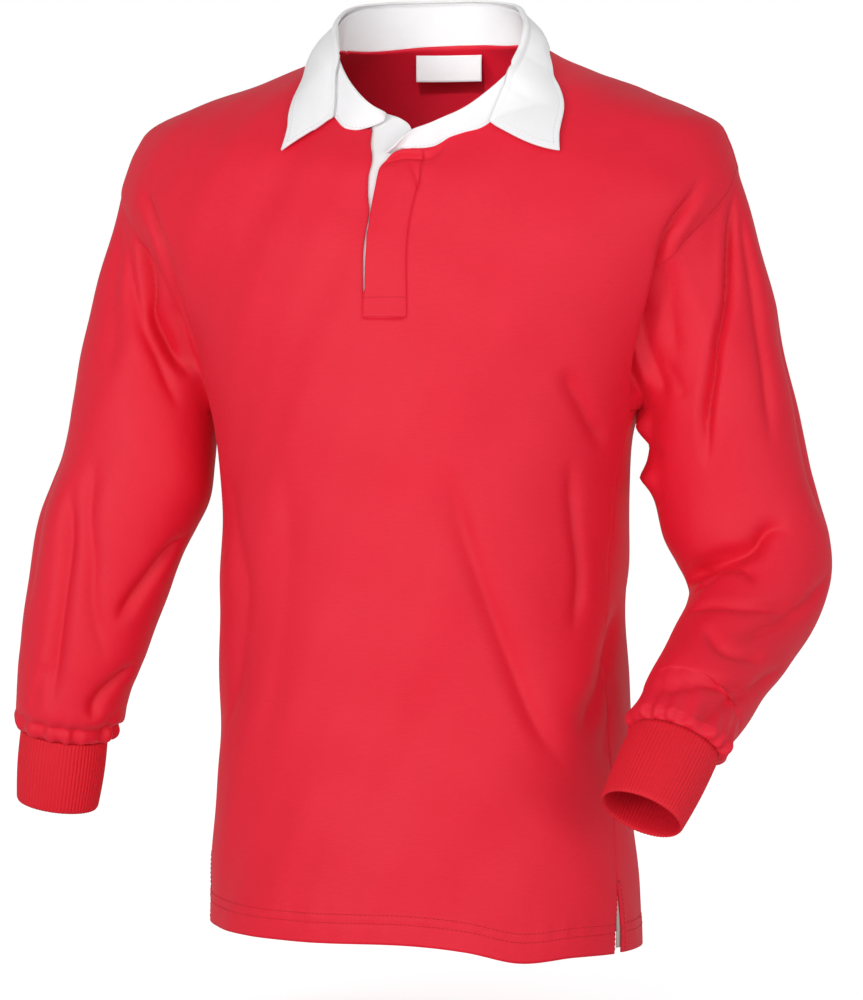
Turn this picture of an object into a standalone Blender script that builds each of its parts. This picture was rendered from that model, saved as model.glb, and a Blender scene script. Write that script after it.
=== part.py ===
"""A long-sleeved rugby shirt in the form it has when worn, hollow, with nobody in it.

The frame: +Z is up, the front faces -Y and the wearer's left is +X. The origin lies
between the shoulders, at the height of the neck points, where the wearer's shoulders
carry the shirt. Each cut piece is its own object, about 0.3 mm from its neighbours.

The body is a stack of rounded-square rings. A place on it is a turn round the body, in
degrees from the centre front towards the wearer's left, and a height. A place on a
sleeve is an angle round it, from its outer edge over the front, and a share of its length.
"""
import math

import bpy
import numpy as np

# ---------------------------------------------------------------- driving sizes, metres
JERSEY = 0.0016            # wall of the heavy cotton jersey
TWILL = 0.0018             # wall of the collar's cotton twill, two layers pressed
TAPE = 0.0010              # wall of the vent tape
SEAM_GAP = 0.0003          # between two sewn pieces
CUFF_WALL = 0.0022         # two layers of rib
RIB_DEPTH = 0.0007         # how far a rib stands proud
RIB_COUNT = 72
GATHERS = 11               # folds where a sleeve is gathered onto its cuff
GATHER_DEPTH = 0.0012
SIDE_SEAM_TURN = 75.0      # the side seams lie forward of the middle of the side
UNDERARM_LEVEL = 0.62      # share of a panel's rows below the underarm
UNDERARM = -0.298          # height where side seam and armhole meet
SEAM_LEAN_FROM = -0.450    # above this height the side seam leans back to the underarm
FOLD_CLEAR = 12.0          # degrees beside a side seam over which folds die away
EDGE_PULL = 1.5            # how fast a panel's rows leave the line of its side edges
TOP_PULL = 2.5             # how late they take up the line of its top
CORE_HEIGHT = -0.200        # the panels are spread round this height's middle
SHOULDER_END = -0.100      # height where the shoulder seam meets the armhole
VENT_TOP = -0.663          # height where the side vents open
VENT_SPREAD = 2.2          # degrees that each edge turns away at the foot of the vent
PLACKET_RIGHT = -3.45      # turn of the placket's edge on the wearer's right
PLACKET_LEFT = 4.2         # and on the wearer's left, where the overlap is sewn on
PLACKET_FOOT = -0.2235     # height of its lower end
PLACKET_BOX = -0.2070      # height where the white strip ends
LABEL_SIZE = (0.052, 0.022)
LABEL_TURN = 186.0
LABEL_WALL = 0.0010
LEAF_CLEAR = 0.0034        # the leaf's outside from the stand's and the body's

# Rings of the body.
# height, half width, depth to the front, depth to the back, squareness (2 is an
# ellipse), shift of the ring's middle towards the wearer's left
BODY_RINGS = (
    (-0.800, 0.179, 0.140, 0.126, 2.25, -0.006),
    (-0.735, 0.178, 0.139, 0.125, 2.25, -0.006),
    (-0.600, 0.172, 0.133, 0.119, 2.25, -0.006),
    (-0.450, 0.168, 0.135, 0.116, 2.25, -0.005),
    (-0.300, 0.176, 0.140, 0.123, 2.25, -0.004),
    (-0.260, 0.190, 0.140, 0.124, 2.20, -0.003),
    (-0.220, 0.208, 0.138, 0.124, 2.20, -0.003),
    (-0.180, 0.231, 0.134, 0.122, 2.15, -0.003),
    (-0.150, 0.251, 0.130, 0.119, 2.10, -0.003),
    (-0.125, 0.262, 0.125, 0.115, 2.05, -0.003),
    (-0.100, 0.258, 0.118, 0.110, 2.00, -0.003),
    (-0.080, 0.251, 0.107, 0.106, 2.00, -0.003),
    (-0.064, 0.240, 0.096, 0.100, 2.00, -0.002),
    (-0.030, 0.152, 0.070, 0.086, 2.00, 0.004),
    (0.000, 0.080, 0.052, 0.068, 2.00, 0.007),
    (0.006, 0.066, 0.050, 0.064, 2.00, 0.007),
)

# The hem: turn, height. It dips towards the wearer's left.
HEM = (
    (-180.0, -0.722), (-120.0, -0.716), (-75.0, -0.716), (-50.0, -0.719), (-18.0, -0.721),
    (8.0, -0.721), (20.0, -0.725), (34.0, -0.734), (53.0, -0.732), (75.0, -0.733),
    (120.0, -0.732), (180.0, -0.722),
)

# The neckline: turn, height on the wearer's right, height on the wearer's left.
NECKLINE = (
    (0.0, -0.0745, -0.0885), (5.0, -0.0712, -0.0880), (8.0, -0.0712, -0.0855),
    (10.0, -0.0695, -0.0800), (13.0, -0.0610, -0.0755), (16.5, -0.0545, -0.0720),
    (19.5, -0.0498, -0.0640), (23.0, -0.0440, -0.0515), (32.0, -0.0305, -0.0320),
    (46.0, -0.0150, -0.0150), (64.0, -0.0050, -0.0050), (90.0, 0.0000, 0.0000),
    (125.0, 0.0020, 0.0020), (155.0, 0.0040, 0.0040), (180.0, 0.0050, 0.0050),
)

# The armhole, from the top of the shoulder down to the side seam: forward of the
# middle of the side, height. The back half runs behind it, hence its minus signs.
ARMHOLE_FRONT = (
    (0.000, -0.100), (0.012, -0.106), (0.027, -0.121), (0.042, -0.143), (0.052, -0.160),
    (0.0585, -0.183), (0.0525, -0.215), (0.043, -0.250), (0.031, -0.278), (0.022, -0.298),
)
ARMHOLE_BACK = (
    (0.000, -0.100), (-0.022, -0.108), (-0.037, -0.122), (-0.050, -0.143), (-0.058, -0.162),
    (-0.063, -0.190), (-0.062, -0.222), (-0.055, -0.250), (-0.041, -0.273),
    (-0.022, -0.288), (0.000, -0.296), (0.022, -0.298),
)

# Sleeves, from the first ring below the underarm down to the cuff's seam.
# x, y, z of the middle, half width across the arm, half depth
LEFT_SLEEVE_RINGS = (
    (0.2420, 0.012, -0.292, 0.060, 0.057),
    (0.2460, 0.020, -0.340, 0.064, 0.057),
    (0.2550, 0.024, -0.386, 0.067, 0.056),
    (0.2680, 0.020, -0.428, 0.060, 0.056),
    (0.2640, -0.004, -0.462, 0.050, 0.052),
    (0.2515, -0.042, -0.494, 0.0450, 0.048),
    (0.2400, -0.086, -0.526, 0.0435, 0.045),
    (0.2368, -0.0985, -0.535, 0.0420, 0.042),
)
RIGHT_SLEEVE_RINGS = (
    (-0.2460, -0.008, -0.296, 0.061, 0.057),
    (-0.2520, -0.011, -0.348, 0.066, 0.057),
    (-0.2680, -0.015, -0.389, 0.064, 0.056),
    (-0.2770, -0.017, -0.422, 0.061, 0.055),
    (-0.2940, -0.019, -0.488, 0.053, 0.049),
    (-0.3045, -0.017, -0.521, 0.0485, 0.046),
    (-0.3090, -0.015, -0.550, 0.0455, 0.042),
)
# Cuffs: x, y, z of the middle, half width, half depth, at the seam and at the open end.
LEFT_CUFF_ENDS = ((0.2310, -0.1290, -0.5560, 0.0365, 0.0300),
                  (0.2130, -0.1690, -0.6080, 0.0335, 0.0300))
RIGHT_CUFF_ENDS = ((-0.3150, -0.0120, -0.5680, 0.0365, 0.0300),
                   (-0.3250, -0.0020, -0.6270, 0.0340, 0.0300))

# Folds pressed into the body: depth, half width, lean, then the places they pass, each a
# turn and a height. A lean above 0 raises a ridge on the side towards the wearer's left.
BODY_FOLDS = (
    (0.010, 0.013, 0.5, ((66, -0.107), (60, -0.127), (58, -0.157), (63, -0.197), (68, -0.240))),
    (0.009, 0.013, -0.5, ((-62, -0.107), (-56, -0.135), (-56, -0.161), (-60, -0.187),
                          (-68, -0.235))),
    (0.006, 0.021, -0.5, ((12, -0.300), (26, -0.440), (40, -0.540), (55, -0.590))),
    (0.007, 0.020, 0.2, ((80, -0.480), (70, -0.518), (56, -0.565))),
    (0.004, 0.020, 0.4, ((-64, -0.345), (-48, -0.400), (-46, -0.450), (-60, -0.560))),
    (0.006, 0.020, 0.3, ((106, -0.310), (124, -0.350), (140, -0.420), (150, -0.505))),
    (0.005, 0.020, -0.3, ((-108, -0.310), (-124, -0.350), (-140, -0.430), (-152, -0.530))),
)
# Folds in the sleeves: the same columns, but a place is an angle round the sleeve and a
# row: 0 at the armhole, 6 below the underarm, 17 above the cuff and 21 on the cuff's seam
LEFT_SLEEVE_FOLDS = (
    (0.008, 0.013, -0.5, ((30, 1.5), (52, 2.9), (68, 3.6), (82, 4.5), (94, 5.9))),
    (0.008, 0.013, 0.0, ((160, 11.2), (144, 11.5), (114, 11.2), (84, 10.6), (50, 9.8))),
    (0.005, 0.013, 0.0, ((186, 11.4), (212, 11.0), (236, 10.2), (262, 9.8))),
    (0.004, 0.012, 0.0, ((130, 17.0), (104, 17.0), (76, 16.8), (34, 15.7), (6, 14.8))),
)
RIGHT_SLEEVE_FOLDS = (
    (0.010, 0.014, 0.3, ((58, 1.0), (72, 1.7), (84, 2.3), (112, 2.8), (146, 3.4))),
    (0.005, 0.013, 0.0, ((176, 9.2), (158, 10.5), (146, 11.7), (126, 12.7))),
    (0.005, 0.013, 0.0, ((186, 10.6), (210, 11.4), (238, 12.6), (262, 13.2))),
)

# The collar, from the wearer's right front round the back to the left front.
# Stand: turn and height of its foot (None takes the neckline), x, y, z of its top edge
STAND_STATIONS = (
    (-2.5, -0.0650, -0.0110, -0.1030, -0.0580),
    (-9.0, None, -0.0300, -0.0960, -0.0480),
    (-14.0, None, -0.0480, -0.0800, -0.0310),
    (-21.0, None, -0.0620, -0.0600, -0.0120),
    (-33.0, None, -0.0710, -0.0380, 0.0030),
    (-52.0, None, -0.0770, -0.0100, 0.0180),
    (-90.0, None, -0.0740, 0.0260, 0.0320),
    (-122.0, None, -0.0550, 0.0570, 0.0380),
    (-160.0, None, -0.0200, 0.0760, 0.0400),
    (-200.0, None, 0.0220, 0.0780, 0.0400),
    (-238.0, None, 0.0580, 0.0480, 0.0330),
    (-270.0, None, 0.0750, 0.0120, 0.0220),
    (-308.0, None, 0.0856, -0.0240, 0.0100),
    (-327.0, None, 0.0880, -0.0530, -0.0100),
    (-339.0, None, 0.0822, -0.0770, -0.0290),
    (-346.0, None, 0.0560, -0.0930, -0.0535),
    (-352.0, None, 0.0336, -0.1060, -0.0660),
    (-358.0, -0.0892, 0.0130, -0.1160, -0.0765),
    (-360.6, -0.0935, 0.0020, -0.1190, -0.0885),
)
# Leaf: place along the stand as a row number of the table above, share of the way down
# the stand where it turns over, then the turn and height that its free edge reaches and
# how far that edge stands off the body
LEAF_STATIONS = (
    (1.82, 1.00, -21.0, -0.0910, 0.0050),
    (2.0, 0.72, -21.0, -0.0800, 0.0050),
    (2.25, 0.47, -21.8, -0.0680, 0.0055),
    (2.58, 0.23, -25.0, -0.0540, 0.0060),
    (3.0, 0.06, -32.0, -0.0390, 0.0060),
    (3.6, 0.00, -44.0, -0.0245, 0.0060),
    (4.4, 0.00, -62.0, -0.0135, 0.0060),
    (5.3, 0.00, -84.0, -0.0085, 0.0060),
    (6.2, 0.00, -112.0, -0.0100, 0.0070),
    (7.2, 0.00, -145.0, -0.0160, 0.0090),
    (8.5, 0.00, -180.0, -0.0180, 0.0120),
    (9.8, 0.00, -213.0, -0.0120, 0.0080),
    (10.6, 0.00, -237.0, -0.0040, 0.0055),
    (11.4, 0.00, -266.0, -0.0030, 0.0050),
    (11.9, 0.00, -285.0, -0.0075, 0.0050),
    (12.4, 0.00, -301.0, -0.0155, 0.0050),
    (13.0, 0.00, -314.0, -0.0300, 0.0050),
    (13.5, 0.00, -321.5, -0.0450, 0.0050),
    (13.95, 0.12, -326.5, -0.0630, 0.0050),
    (14.2, 0.50, -328.2, -0.0790, 0.0050),
    (14.37, 1.00, -328.5, -0.0935, 0.0050),
)
# The overlap's free edge: height, turn
OVERLAP_EDGE = (
    (-0.2235, -3.30), (-0.2070, -3.20), (-0.1620, -2.90), (-0.1350, -2.50), (-0.1110, -1.95),
    (-0.0985, -0.80), (-0.0890, 1.00),
)
# Turns of the panels' points along the neckline, on each side of the placket
FRONT_NECK_TURNS = (9.0, 14.0, 21.0, 30.0, 42.0, 57.0, 75.0)
BACK_NECK_TURNS = (104.0, 122.0, 140.0, 160.0)

# Colours and finish: colour, roughness
RED_JERSEY = ((0.68, 0.022, 0.045), 0.85)
RED_RIB = ((0.62, 0.018, 0.038), 0.9)
WHITE_TWILL = ((0.86, 0.84, 0.85), 0.8)
WHITE_SATIN = ((0.88, 0.87, 0.88), 0.5)
STONE_TAPE = ((0.62, 0.58, 0.54), 0.85)


# ---------------------------------------------------------------- curves and surfaces
def blend_rows(rows, at):
    """Every column of a table after the first, smoothly, at values of the first."""
    table = np.array(rows, float)
    keys = table[:, 0]
    slopes = np.gradient(table[:, 1:], keys, axis=0)
    at = np.clip(np.asarray(at, float), keys[0], keys[-1])
    low = np.clip(np.searchsorted(keys, at, side="right") - 1, 0, len(keys) - 2)
    step = keys[low + 1] - keys[low]
    share = ((at - keys[low]) / step)[..., None]
    step = step[..., None]
    start, end = table[low, 1:], table[low + 1, 1:]
    return (start * (1 + 2 * share) * (1 - share) ** 2
            + end * share ** 2 * (3 - 2 * share)
            + slopes[low] * step * share * (1 - share) ** 2
            - slopes[low + 1] * step * share ** 2 * (1 - share))


def along(points, shares):
    """Points at shares of the length of a smooth curve through the given ones."""
    points = np.array(points, float)
    steps = np.linalg.norm(np.diff(points, axis=0), axis=1)
    reach = np.concatenate([[0.0], np.cumsum(steps)]) / steps.sum()
    return blend_rows(np.column_stack([reach, points]), shares)


def ease(value):
    """0 to 1 with a soft start and a soft end."""
    value = np.clip(value, 0.0, 1.0)
    return value * value * (3 - 2 * value)


def unit(vectors):
    """Vectors of length 1."""
    return vectors / np.maximum(np.linalg.norm(vectors, axis=-1, keepdims=True), 1e-12)


def body_point(turn, height):
    """The plain body at a turn in degrees and a height, before any folds."""
    turn, height = np.broadcast_arrays(np.asarray(turn, float), np.asarray(height, float))
    half_width, front, back, squareness, shift = np.moveaxis(
        blend_rows(BODY_RINGS, height), -1, 0)
    sine, cosine = np.sin(np.radians(turn)), np.cos(np.radians(turn))
    x = shift + half_width * np.sign(sine) * np.abs(sine) ** (2 / squareness)
    depth = np.where(cosine > 0, front, back)
    y = -depth * np.sign(cosine) * np.abs(cosine) ** (2 / squareness)
    return np.stack([x, y, height], axis=-1)


def turn_at(forward, height):
    """The turn, 0 to 180, of the body's point that lies this far forward."""
    _, front, back, squareness, _ = np.moveaxis(blend_rows(BODY_RINGS, height), -1, 0)
    depth = np.where(forward > 0, front, back)
    cosine = np.sign(forward) * (np.abs(forward) / depth) ** (squareness / 2)
    return np.degrees(np.arccos(np.clip(cosine, -1, 1)))


def body_normal(turn, height):
    """The way out of the plain body."""
    step = 0.25
    round_it = body_point(turn + step, height) - body_point(turn - step, height)
    up_it = body_point(turn, height + 0.001) - body_point(turn, height - 0.001)
    return unit(np.cross(round_it, up_it))


def body_surface(turn, height, lift=0.0):
    """The body with its folds, moved out by lift. The side seams run straight."""
    points, normals = body_point(turn, height), body_normal(turn, height)
    from_seam = np.abs(np.abs((np.asarray(turn) + 180) % 360 - 180) - SIDE_SEAM_TURN)
    below = 1 - ease((height - UNDERARM) / 0.03)
    calm = 1 - below * (1 - ease(from_seam / FOLD_CLEAR))
    offsets = fold_offsets(points, normals, BODY_FOLDS, body_point) * calm + lift
    return points + normals * offsets[..., None]


def surface_normal(turn, height):
    """The way out of the body with its folds."""
    round_it = body_surface(turn + 0.4, height) - body_surface(turn - 0.4, height)
    up_it = body_surface(turn, height + 0.0015) - body_surface(turn, height - 0.0015)
    return unit(np.cross(round_it, up_it))


def neck_height(turn):
    """The neckline's height at a turn of -180 to 180."""
    heights = blend_rows(NECKLINE, np.abs(turn))
    return np.where(np.asarray(turn) < 0, heights[..., 0], heights[..., 1])


def hem_height(turn):
    """The hem's height at a turn."""
    return blend_rows(HEM, (np.asarray(turn) + 180) % 360 - 180)[..., 0]


def grid_normals(points, closed):
    """Normals of a grid of points, rows by columns; closed joins the last column."""
    if closed:
        across = np.roll(points, -1, axis=1) - np.roll(points, 1, axis=1)
    else:
        across = np.gradient(points, axis=1)
    return unit(np.cross(across, np.gradient(points, axis=0)))


def fold_offsets(points, normals, folds, place):
    """How far each point moves out for the folds; place gives a fold's points."""
    offsets = np.zeros(points.shape[:-1])
    for depth, width, lean, path in folds:
        line = along([place(*spot) for spot in path], np.linspace(0, 1, 25))
        gap, share, side = nearest(points, normals, line)
        taper = ease(share / 0.25) * ease((1 - share) / 0.25)
        reach = gap / width
        offsets += depth * taper * np.exp(-reach ** 2) * (lean * 2 * side * reach - 1)
    return offsets


def nearest(points, normals, line):
    """Distance to a line, the share of it reached, and which side a point is on."""
    best = np.full(points.shape[:-1], 1e9)
    share = np.zeros_like(best)
    side = np.zeros_like(best)
    for index in range(len(line) - 1):
        start, run = line[index], line[index + 1] - line[index]
        part = np.clip((points - start) @ run / (run @ run), 0, 1)
        away = points - (start + part[..., None] * run)
        gap = np.linalg.norm(away, axis=-1)
        closer = gap < best
        best = np.where(closer, gap, best)
        share = np.where(closer, (index + part) / (len(line) - 1), share)
        turned = np.sign(np.einsum("...k,...k", np.cross(normals, run), away))
        side = np.where(closer, turned, side)
    return best, share, side


# ---------------------------------------------------------------- meshes
def material(name, finish):
    """A plain cloth material."""
    colour, roughness = finish
    made = bpy.data.materials.new(name)
    made.use_nodes = True
    shader = made.node_tree.nodes["Principled BSDF"]
    shader.inputs["Base Color"].default_value = (*colour, 1.0)
    shader.inputs["Roughness"].default_value = roughness
    shader.inputs["Metallic"].default_value = 0.0
    return made


def add_object(name, vertices, faces, finish, collection):
    """A smooth mesh object in the shirt's collection."""
    mesh = bpy.data.meshes.new(name)
    mesh.from_pydata([tuple(vertex) for vertex in vertices], [], faces)
    mesh.update()
    mesh.shade_smooth()
    mesh.materials.append(material(name, finish))
    made = bpy.data.objects.new(name, mesh)
    collection.objects.link(made)
    return made


def cloth(name, points, thickness, finish, collection, closed=False, holes=(), normals=None):
    """A wall of cloth: a grid of outer points, the same points moved in, and the rims.

    points is rows by columns; the outside is where columns x rows points. Pieces that are
    sewn together share the normals of their seam, so their walls stay apart through the
    whole thickness. holes holds the cells (row, column) that stay open.
    """
    if normals is None:
        normals = grid_normals(points, closed)
    rows, columns = points.shape[:2]
    faces = []
    for row in range(rows - 1):
        for column in range(columns if closed else columns - 1):
            if (row, column) not in holes:
                beside = (column + 1) % columns
                faces.append((row * columns + column, row * columns + beside,
                              (row + 1) * columns + beside, (row + 1) * columns + column))
    used = sorted({corner for face in faces for corner in face})
    place = {corner: index for index, corner in enumerate(used)}
    outer = [tuple(place[corner] for corner in face) for face in faces]
    count = len(used)
    inner = [tuple(face[index] + count for index in (0, 3, 2, 1)) for face in outer]
    edges = {(face[index - 1], face[index]) for face in outer for index in range(4)}
    rims = [(end, start, start + count, end + count)
            for start, end in sorted(edges) if (end, start) not in edges]
    outside = points.reshape(-1, 3)[used]
    inside = outside - normals.reshape(-1, 3)[used] * thickness
    return add_object(name, np.concatenate([outside, inside]), outer + inner + rims,
                      finish, collection)


# ---------------------------------------------------------------- the body
def panel_levels(seam_rows, armhole_rows):
    """Levels of a panel's rows: 0 the hem, UNDERARM_LEVEL the underarm, 1 the shoulder.

    The last row but one lies close to the shoulder seam, so the walls meet there flat.
    """
    seam = np.linspace(0, UNDERARM_LEVEL, seam_rows, endpoint=False)
    armhole = np.linspace(UNDERARM_LEVEL, 0.955, armhole_rows)
    return np.concatenate([seam, armhole, [0.985, 1.0]])


FRONT_LEVELS = panel_levels(14, 9)
BACK_LEVELS = panel_levels(14, 8)


def seam_inset(turn, height):
    """Degrees that half a seam's gap takes up at a place on the body."""
    degree = np.linalg.norm(body_point(turn + 0.5, height) - body_point(turn - 0.5, height),
                            axis=-1)
    return SEAM_GAP / 2 / degree


def armhole(levels, table):
    """Turns and heights of one half of an armhole at a panel's levels."""
    hole = along(table[::-1], (levels - UNDERARM_LEVEL) / (1 - UNDERARM_LEVEL))
    return turn_at(hole[:, 0], hole[:, 1]), hole[:, 1]


def side_seam(heights):
    """Turns of the side seam: it leans back a little to meet the underarm."""
    underarm = float(turn_at(ARMHOLE_FRONT[-1][0], UNDERARM))
    return SIDE_SEAM_TURN + (underarm - SIDE_SEAM_TURN) * ease(
        (heights - SEAM_LEAN_FROM) / (UNDERARM - SEAM_LEAN_FROM))


def side_edge(sign, levels, table, inward):
    """Points up one edge of a panel: vent, side seam, then armhole.

    sign is +1 for the wearer's left. inward is the sense of turning into the panel.
    """
    foot = float(blend_rows(HEM, sign * SIDE_SEAM_TURN)[0])
    heights = foot + (UNDERARM - foot) * np.clip(levels / UNDERARM_LEVEL, 0, 1)
    turns = side_seam(heights) + inward * (
        seam_inset(SIDE_SEAM_TURN, heights)
        + ease((VENT_TOP - heights) / (VENT_TOP - foot)) * VENT_SPREAD)
    up_hole = levels > UNDERARM_LEVEL
    turns[up_hole], heights[up_hole] = armhole(levels[up_hole], table)
    turns[-1] = 90.0 + inward * seam_inset(90.0, SHOULDER_END)
    return body_point(turns * sign, heights)


def onto_body(points):
    """Turn and height where rays from the body's core through points leave the body."""
    core = np.zeros_like(points)
    core[..., 2] = np.minimum(points[..., 2], CORE_HEIGHT)
    low, high = np.zeros(points.shape[:-1]), np.full(points.shape[:-1], 3.0)
    for _ in range(40):
        middle = (low + high) / 2
        outside = body_level(core + (points - core) * middle[..., None]) > 1
        low, high = np.where(outside, low, middle), np.where(outside, middle, high)
    found = core + (points - core) * low[..., None]
    half_width, front, back, squareness, shift = np.moveaxis(
        blend_rows(BODY_RINGS, found[..., 2]), -1, 0)
    depth = np.where(found[..., 1] < 0, front, back)
    sine = np.abs((found[..., 0] - shift) / half_width) ** (squareness / 2)
    cosine = np.abs(found[..., 1] / depth) ** (squareness / 2)
    turns = np.degrees(np.arctan2(sine * np.sign(found[..., 0] - shift),
                                  -cosine * np.sign(found[..., 1])))
    return turns, found[..., 2]


def body_level(points):
    """Below 1 inside the plain body, above 1 outside it."""
    half_width, front, back, squareness, shift = np.moveaxis(
        blend_rows(BODY_RINGS, points[..., 2]), -1, 0)
    depth = np.where(points[..., 1] < 0, front, back)
    level = (np.abs((points[..., 0] - shift) / half_width) ** squareness
             + np.abs(points[..., 1] / depth) ** squareness)
    return np.where(points[..., 2] > BODY_RINGS[-1][0], 2.0, level)


def length_shares(points):
    """Share of a line's length reached at each of its points."""
    steps = np.linalg.norm(np.diff(points, axis=0), axis=1)
    return np.concatenate([[0.0], np.cumsum(steps)]) / steps.sum()


def panel(bottom, top, levels, left, right):
    """Turns and heights of a panel's grid: straight between hem and top, drawn to the
    side edges most strongly near them, then carried out onto the body."""
    rise = levels[:, None, None] ** TOP_PULL
    share = np.clip(length_shares(bottom)[None, :, None] * (1 - rise)
                    + length_shares(top)[None, :, None] * rise, 0, 1)
    points = bottom * (1 - rise) + top * rise
    points = (points + (1 - share) ** EDGE_PULL * (left[:, None] - points[:, :1])
              + share ** EDGE_PULL * (right[:, None] - points[:, -1:]))
    return onto_body(points)


def shoulder_seam(inward):
    """Turns and heights down the left shoulder seam, from the neck to the armhole."""
    heights = np.array([-0.0008, -0.016, -0.031, -0.047, -0.066, -0.093, SHOULDER_END])
    return 90.0 + inward * seam_inset(90.0, heights), heights


def make_front(collection):
    """The front panel, with its placket notch left open."""
    seam_turns, seam_heights = shoulder_seam(-1)
    middle = np.linspace(PLACKET_RIGHT, PLACKET_LEFT, 3)
    left_turns = np.concatenate([FRONT_NECK_TURNS, seam_turns])
    top_turns = np.concatenate([-left_turns[::-1], middle, left_turns])
    top_heights = neck_height(top_turns)
    top_heights[:len(seam_heights)] = seam_heights[::-1]
    top_heights[-len(seam_heights):] = seam_heights
    bottom_side = np.concatenate([np.linspace(9.0, SIDE_SEAM_TURN - 3.0, len(left_turns) - 1),
                                  [SIDE_SEAM_TURN - VENT_SPREAD]])
    bottom_turns = np.concatenate([-bottom_side[::-1], middle, bottom_side])
    levels = FRONT_LEVELS
    right = side_edge(-1, levels, ARMHOLE_FRONT, -1)
    left = side_edge(1, levels, ARMHOLE_FRONT, -1)
    turns, heights = panel(body_point(bottom_turns, hem_height(bottom_turns)),
                           body_point(top_turns, top_heights), levels, right, left)
    first = len(left_turns)
    last = first + len(middle) - 1
    foot = int(np.argmin(np.abs(heights[:, first] - PLACKET_FOOT)))
    near = np.exp(-((np.arange(len(top_turns)) - (first + last) / 2) / 3.5) ** 2)
    shift = (PLACKET_FOOT - heights[foot]) * near
    for row, weight in ((foot - 1, 0.5), (foot, 1.0), (foot + 1, 0.5)):
        heights[row] += shift * weight
    heights[foot, first:last + 1] = PLACKET_FOOT
    turns[foot:, first:last + 1] = middle
    holes = {(row, column) for row in range(foot, len(levels) - 1)
             for column in range(first, last)}
    return cloth("front", body_surface(turns, heights), JERSEY, RED_JERSEY, collection,
                 holes=holes, normals=surface_normal(turns, heights))


def make_back(collection):
    """The back panel."""
    seam_turns, seam_heights = shoulder_seam(1)
    half = np.concatenate([seam_turns[::-1], BACK_NECK_TURNS])
    top_turns = np.concatenate([half, [180.0], 360.0 - half[::-1]])
    top_heights = neck_height((top_turns + 180) % 360 - 180)
    top_heights[:len(seam_heights)] = seam_heights[::-1]
    top_heights[-len(seam_heights):] = seam_heights
    near_seam = SIDE_SEAM_TURN + VENT_SPREAD + 4.0
    far_seam = SIDE_SEAM_TURN + VENT_SPREAD
    bottom_turns = np.concatenate([
        [far_seam], np.linspace(near_seam, 360.0 - near_seam, len(top_turns) - 2),
        [360.0 - far_seam]])
    levels = BACK_LEVELS
    left = side_edge(1, levels, ARMHOLE_BACK, 1)
    right = side_edge(-1, levels, ARMHOLE_BACK, 1)
    turns, heights = panel(body_point(bottom_turns, hem_height(bottom_turns)),
                           body_point(top_turns, top_heights), levels, left, right)
    return cloth("back", body_surface(turns, heights), JERSEY, RED_JERSEY, collection,
                 normals=surface_normal(turns, heights))


# ---------------------------------------------------------------- sleeves and cuffs
def armhole_loop(sign):
    """The armhole from the shoulder down the front and up the back.

    Its points are the panels' own and places midway between them. It gives the points,
    the ways out of the body and away from the panels, and the angles round the sleeve.
    """
    loops = []
    for levels, table, start in ((FRONT_LEVELS, ARMHOLE_FRONT, 0.0),
                                 (BACK_LEVELS, ARMHOLE_BACK, 180.0)):
        levels = levels[levels >= UNDERARM_LEVEL]
        turns, heights = armhole(levels, table)
        points = body_surface(turns * sign, heights)
        normals = surface_normal(turns * sign, heights)
        halves = [(points[index] + points[index + 1], normals[index] + normals[index + 1])
                  for index in range(len(points) - 1)]
        loop = []
        for index in range(len(points)):
            loop.append((points[index], normals[index]))
            if index < len(halves) - 2:
                loop.append((halves[index][0] / 2, unit(halves[index][1])))
        if start == 0.0:
            loop = loop[::-1]
        angles = start + np.linspace(0.0, 180.0, len(loop))
        loops.append((loop[:-1], angles[:-1]))
    loop = loops[0][0] + loops[1][0]
    points = np.array([place for place, _ in loop])
    normals = np.array([normal for _, normal in loop])
    tangents = unit(np.roll(points, -1, axis=0) - np.roll(points, 1, axis=0))
    away = unit(np.cross(normals, tangents))
    outward = np.array([sign, 0.0, 0.0])
    away *= np.sign((away @ outward) + 0.3 * ((points.mean(axis=0) - points) @ outward))[:, None]
    for _ in range(2):
        away = unit(np.roll(away, -1, axis=0) + 2 * away + np.roll(away, 1, axis=0))
    return points, normals, away, np.concatenate([loops[0][1], loops[1][1]])


def ring_frames(rings):
    """Middles, sizes and axes (outward, front, along) at the rings of a tube."""
    rings = np.array(rings, float)
    middles = rings[:, :3]
    steps = unit(np.gradient(middles, axis=0))
    outward = np.zeros_like(steps)
    outward[:, 0] = np.sign(middles[0, 0])
    outward = unit(outward - np.einsum("ij,ij->i", outward, steps)[:, None] * steps)
    front = np.cross(steps, outward)
    front *= -np.sign(front[:, 1:2])
    return middles, rings[:, 3:], outward, front, steps


def sleeve_point(sign, rings, around, share):
    """The plain sleeve at an angle round it and a share of its length from underarm."""
    rings = np.array(rings, float)
    middles, sizes, outward, front, steps = ring_frames(rings)
    reach = np.linspace(0, 1, len(rings))
    table = np.column_stack([reach, middles, sizes, outward, front])
    row = blend_rows(table, share)
    angle = np.radians(around)[..., None]
    return (row[..., 0:3] + unit(row[..., 5:8]) * row[..., 3:4] * np.cos(angle)
            + unit(row[..., 8:11]) * row[..., 4:5] * np.sin(angle))


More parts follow.
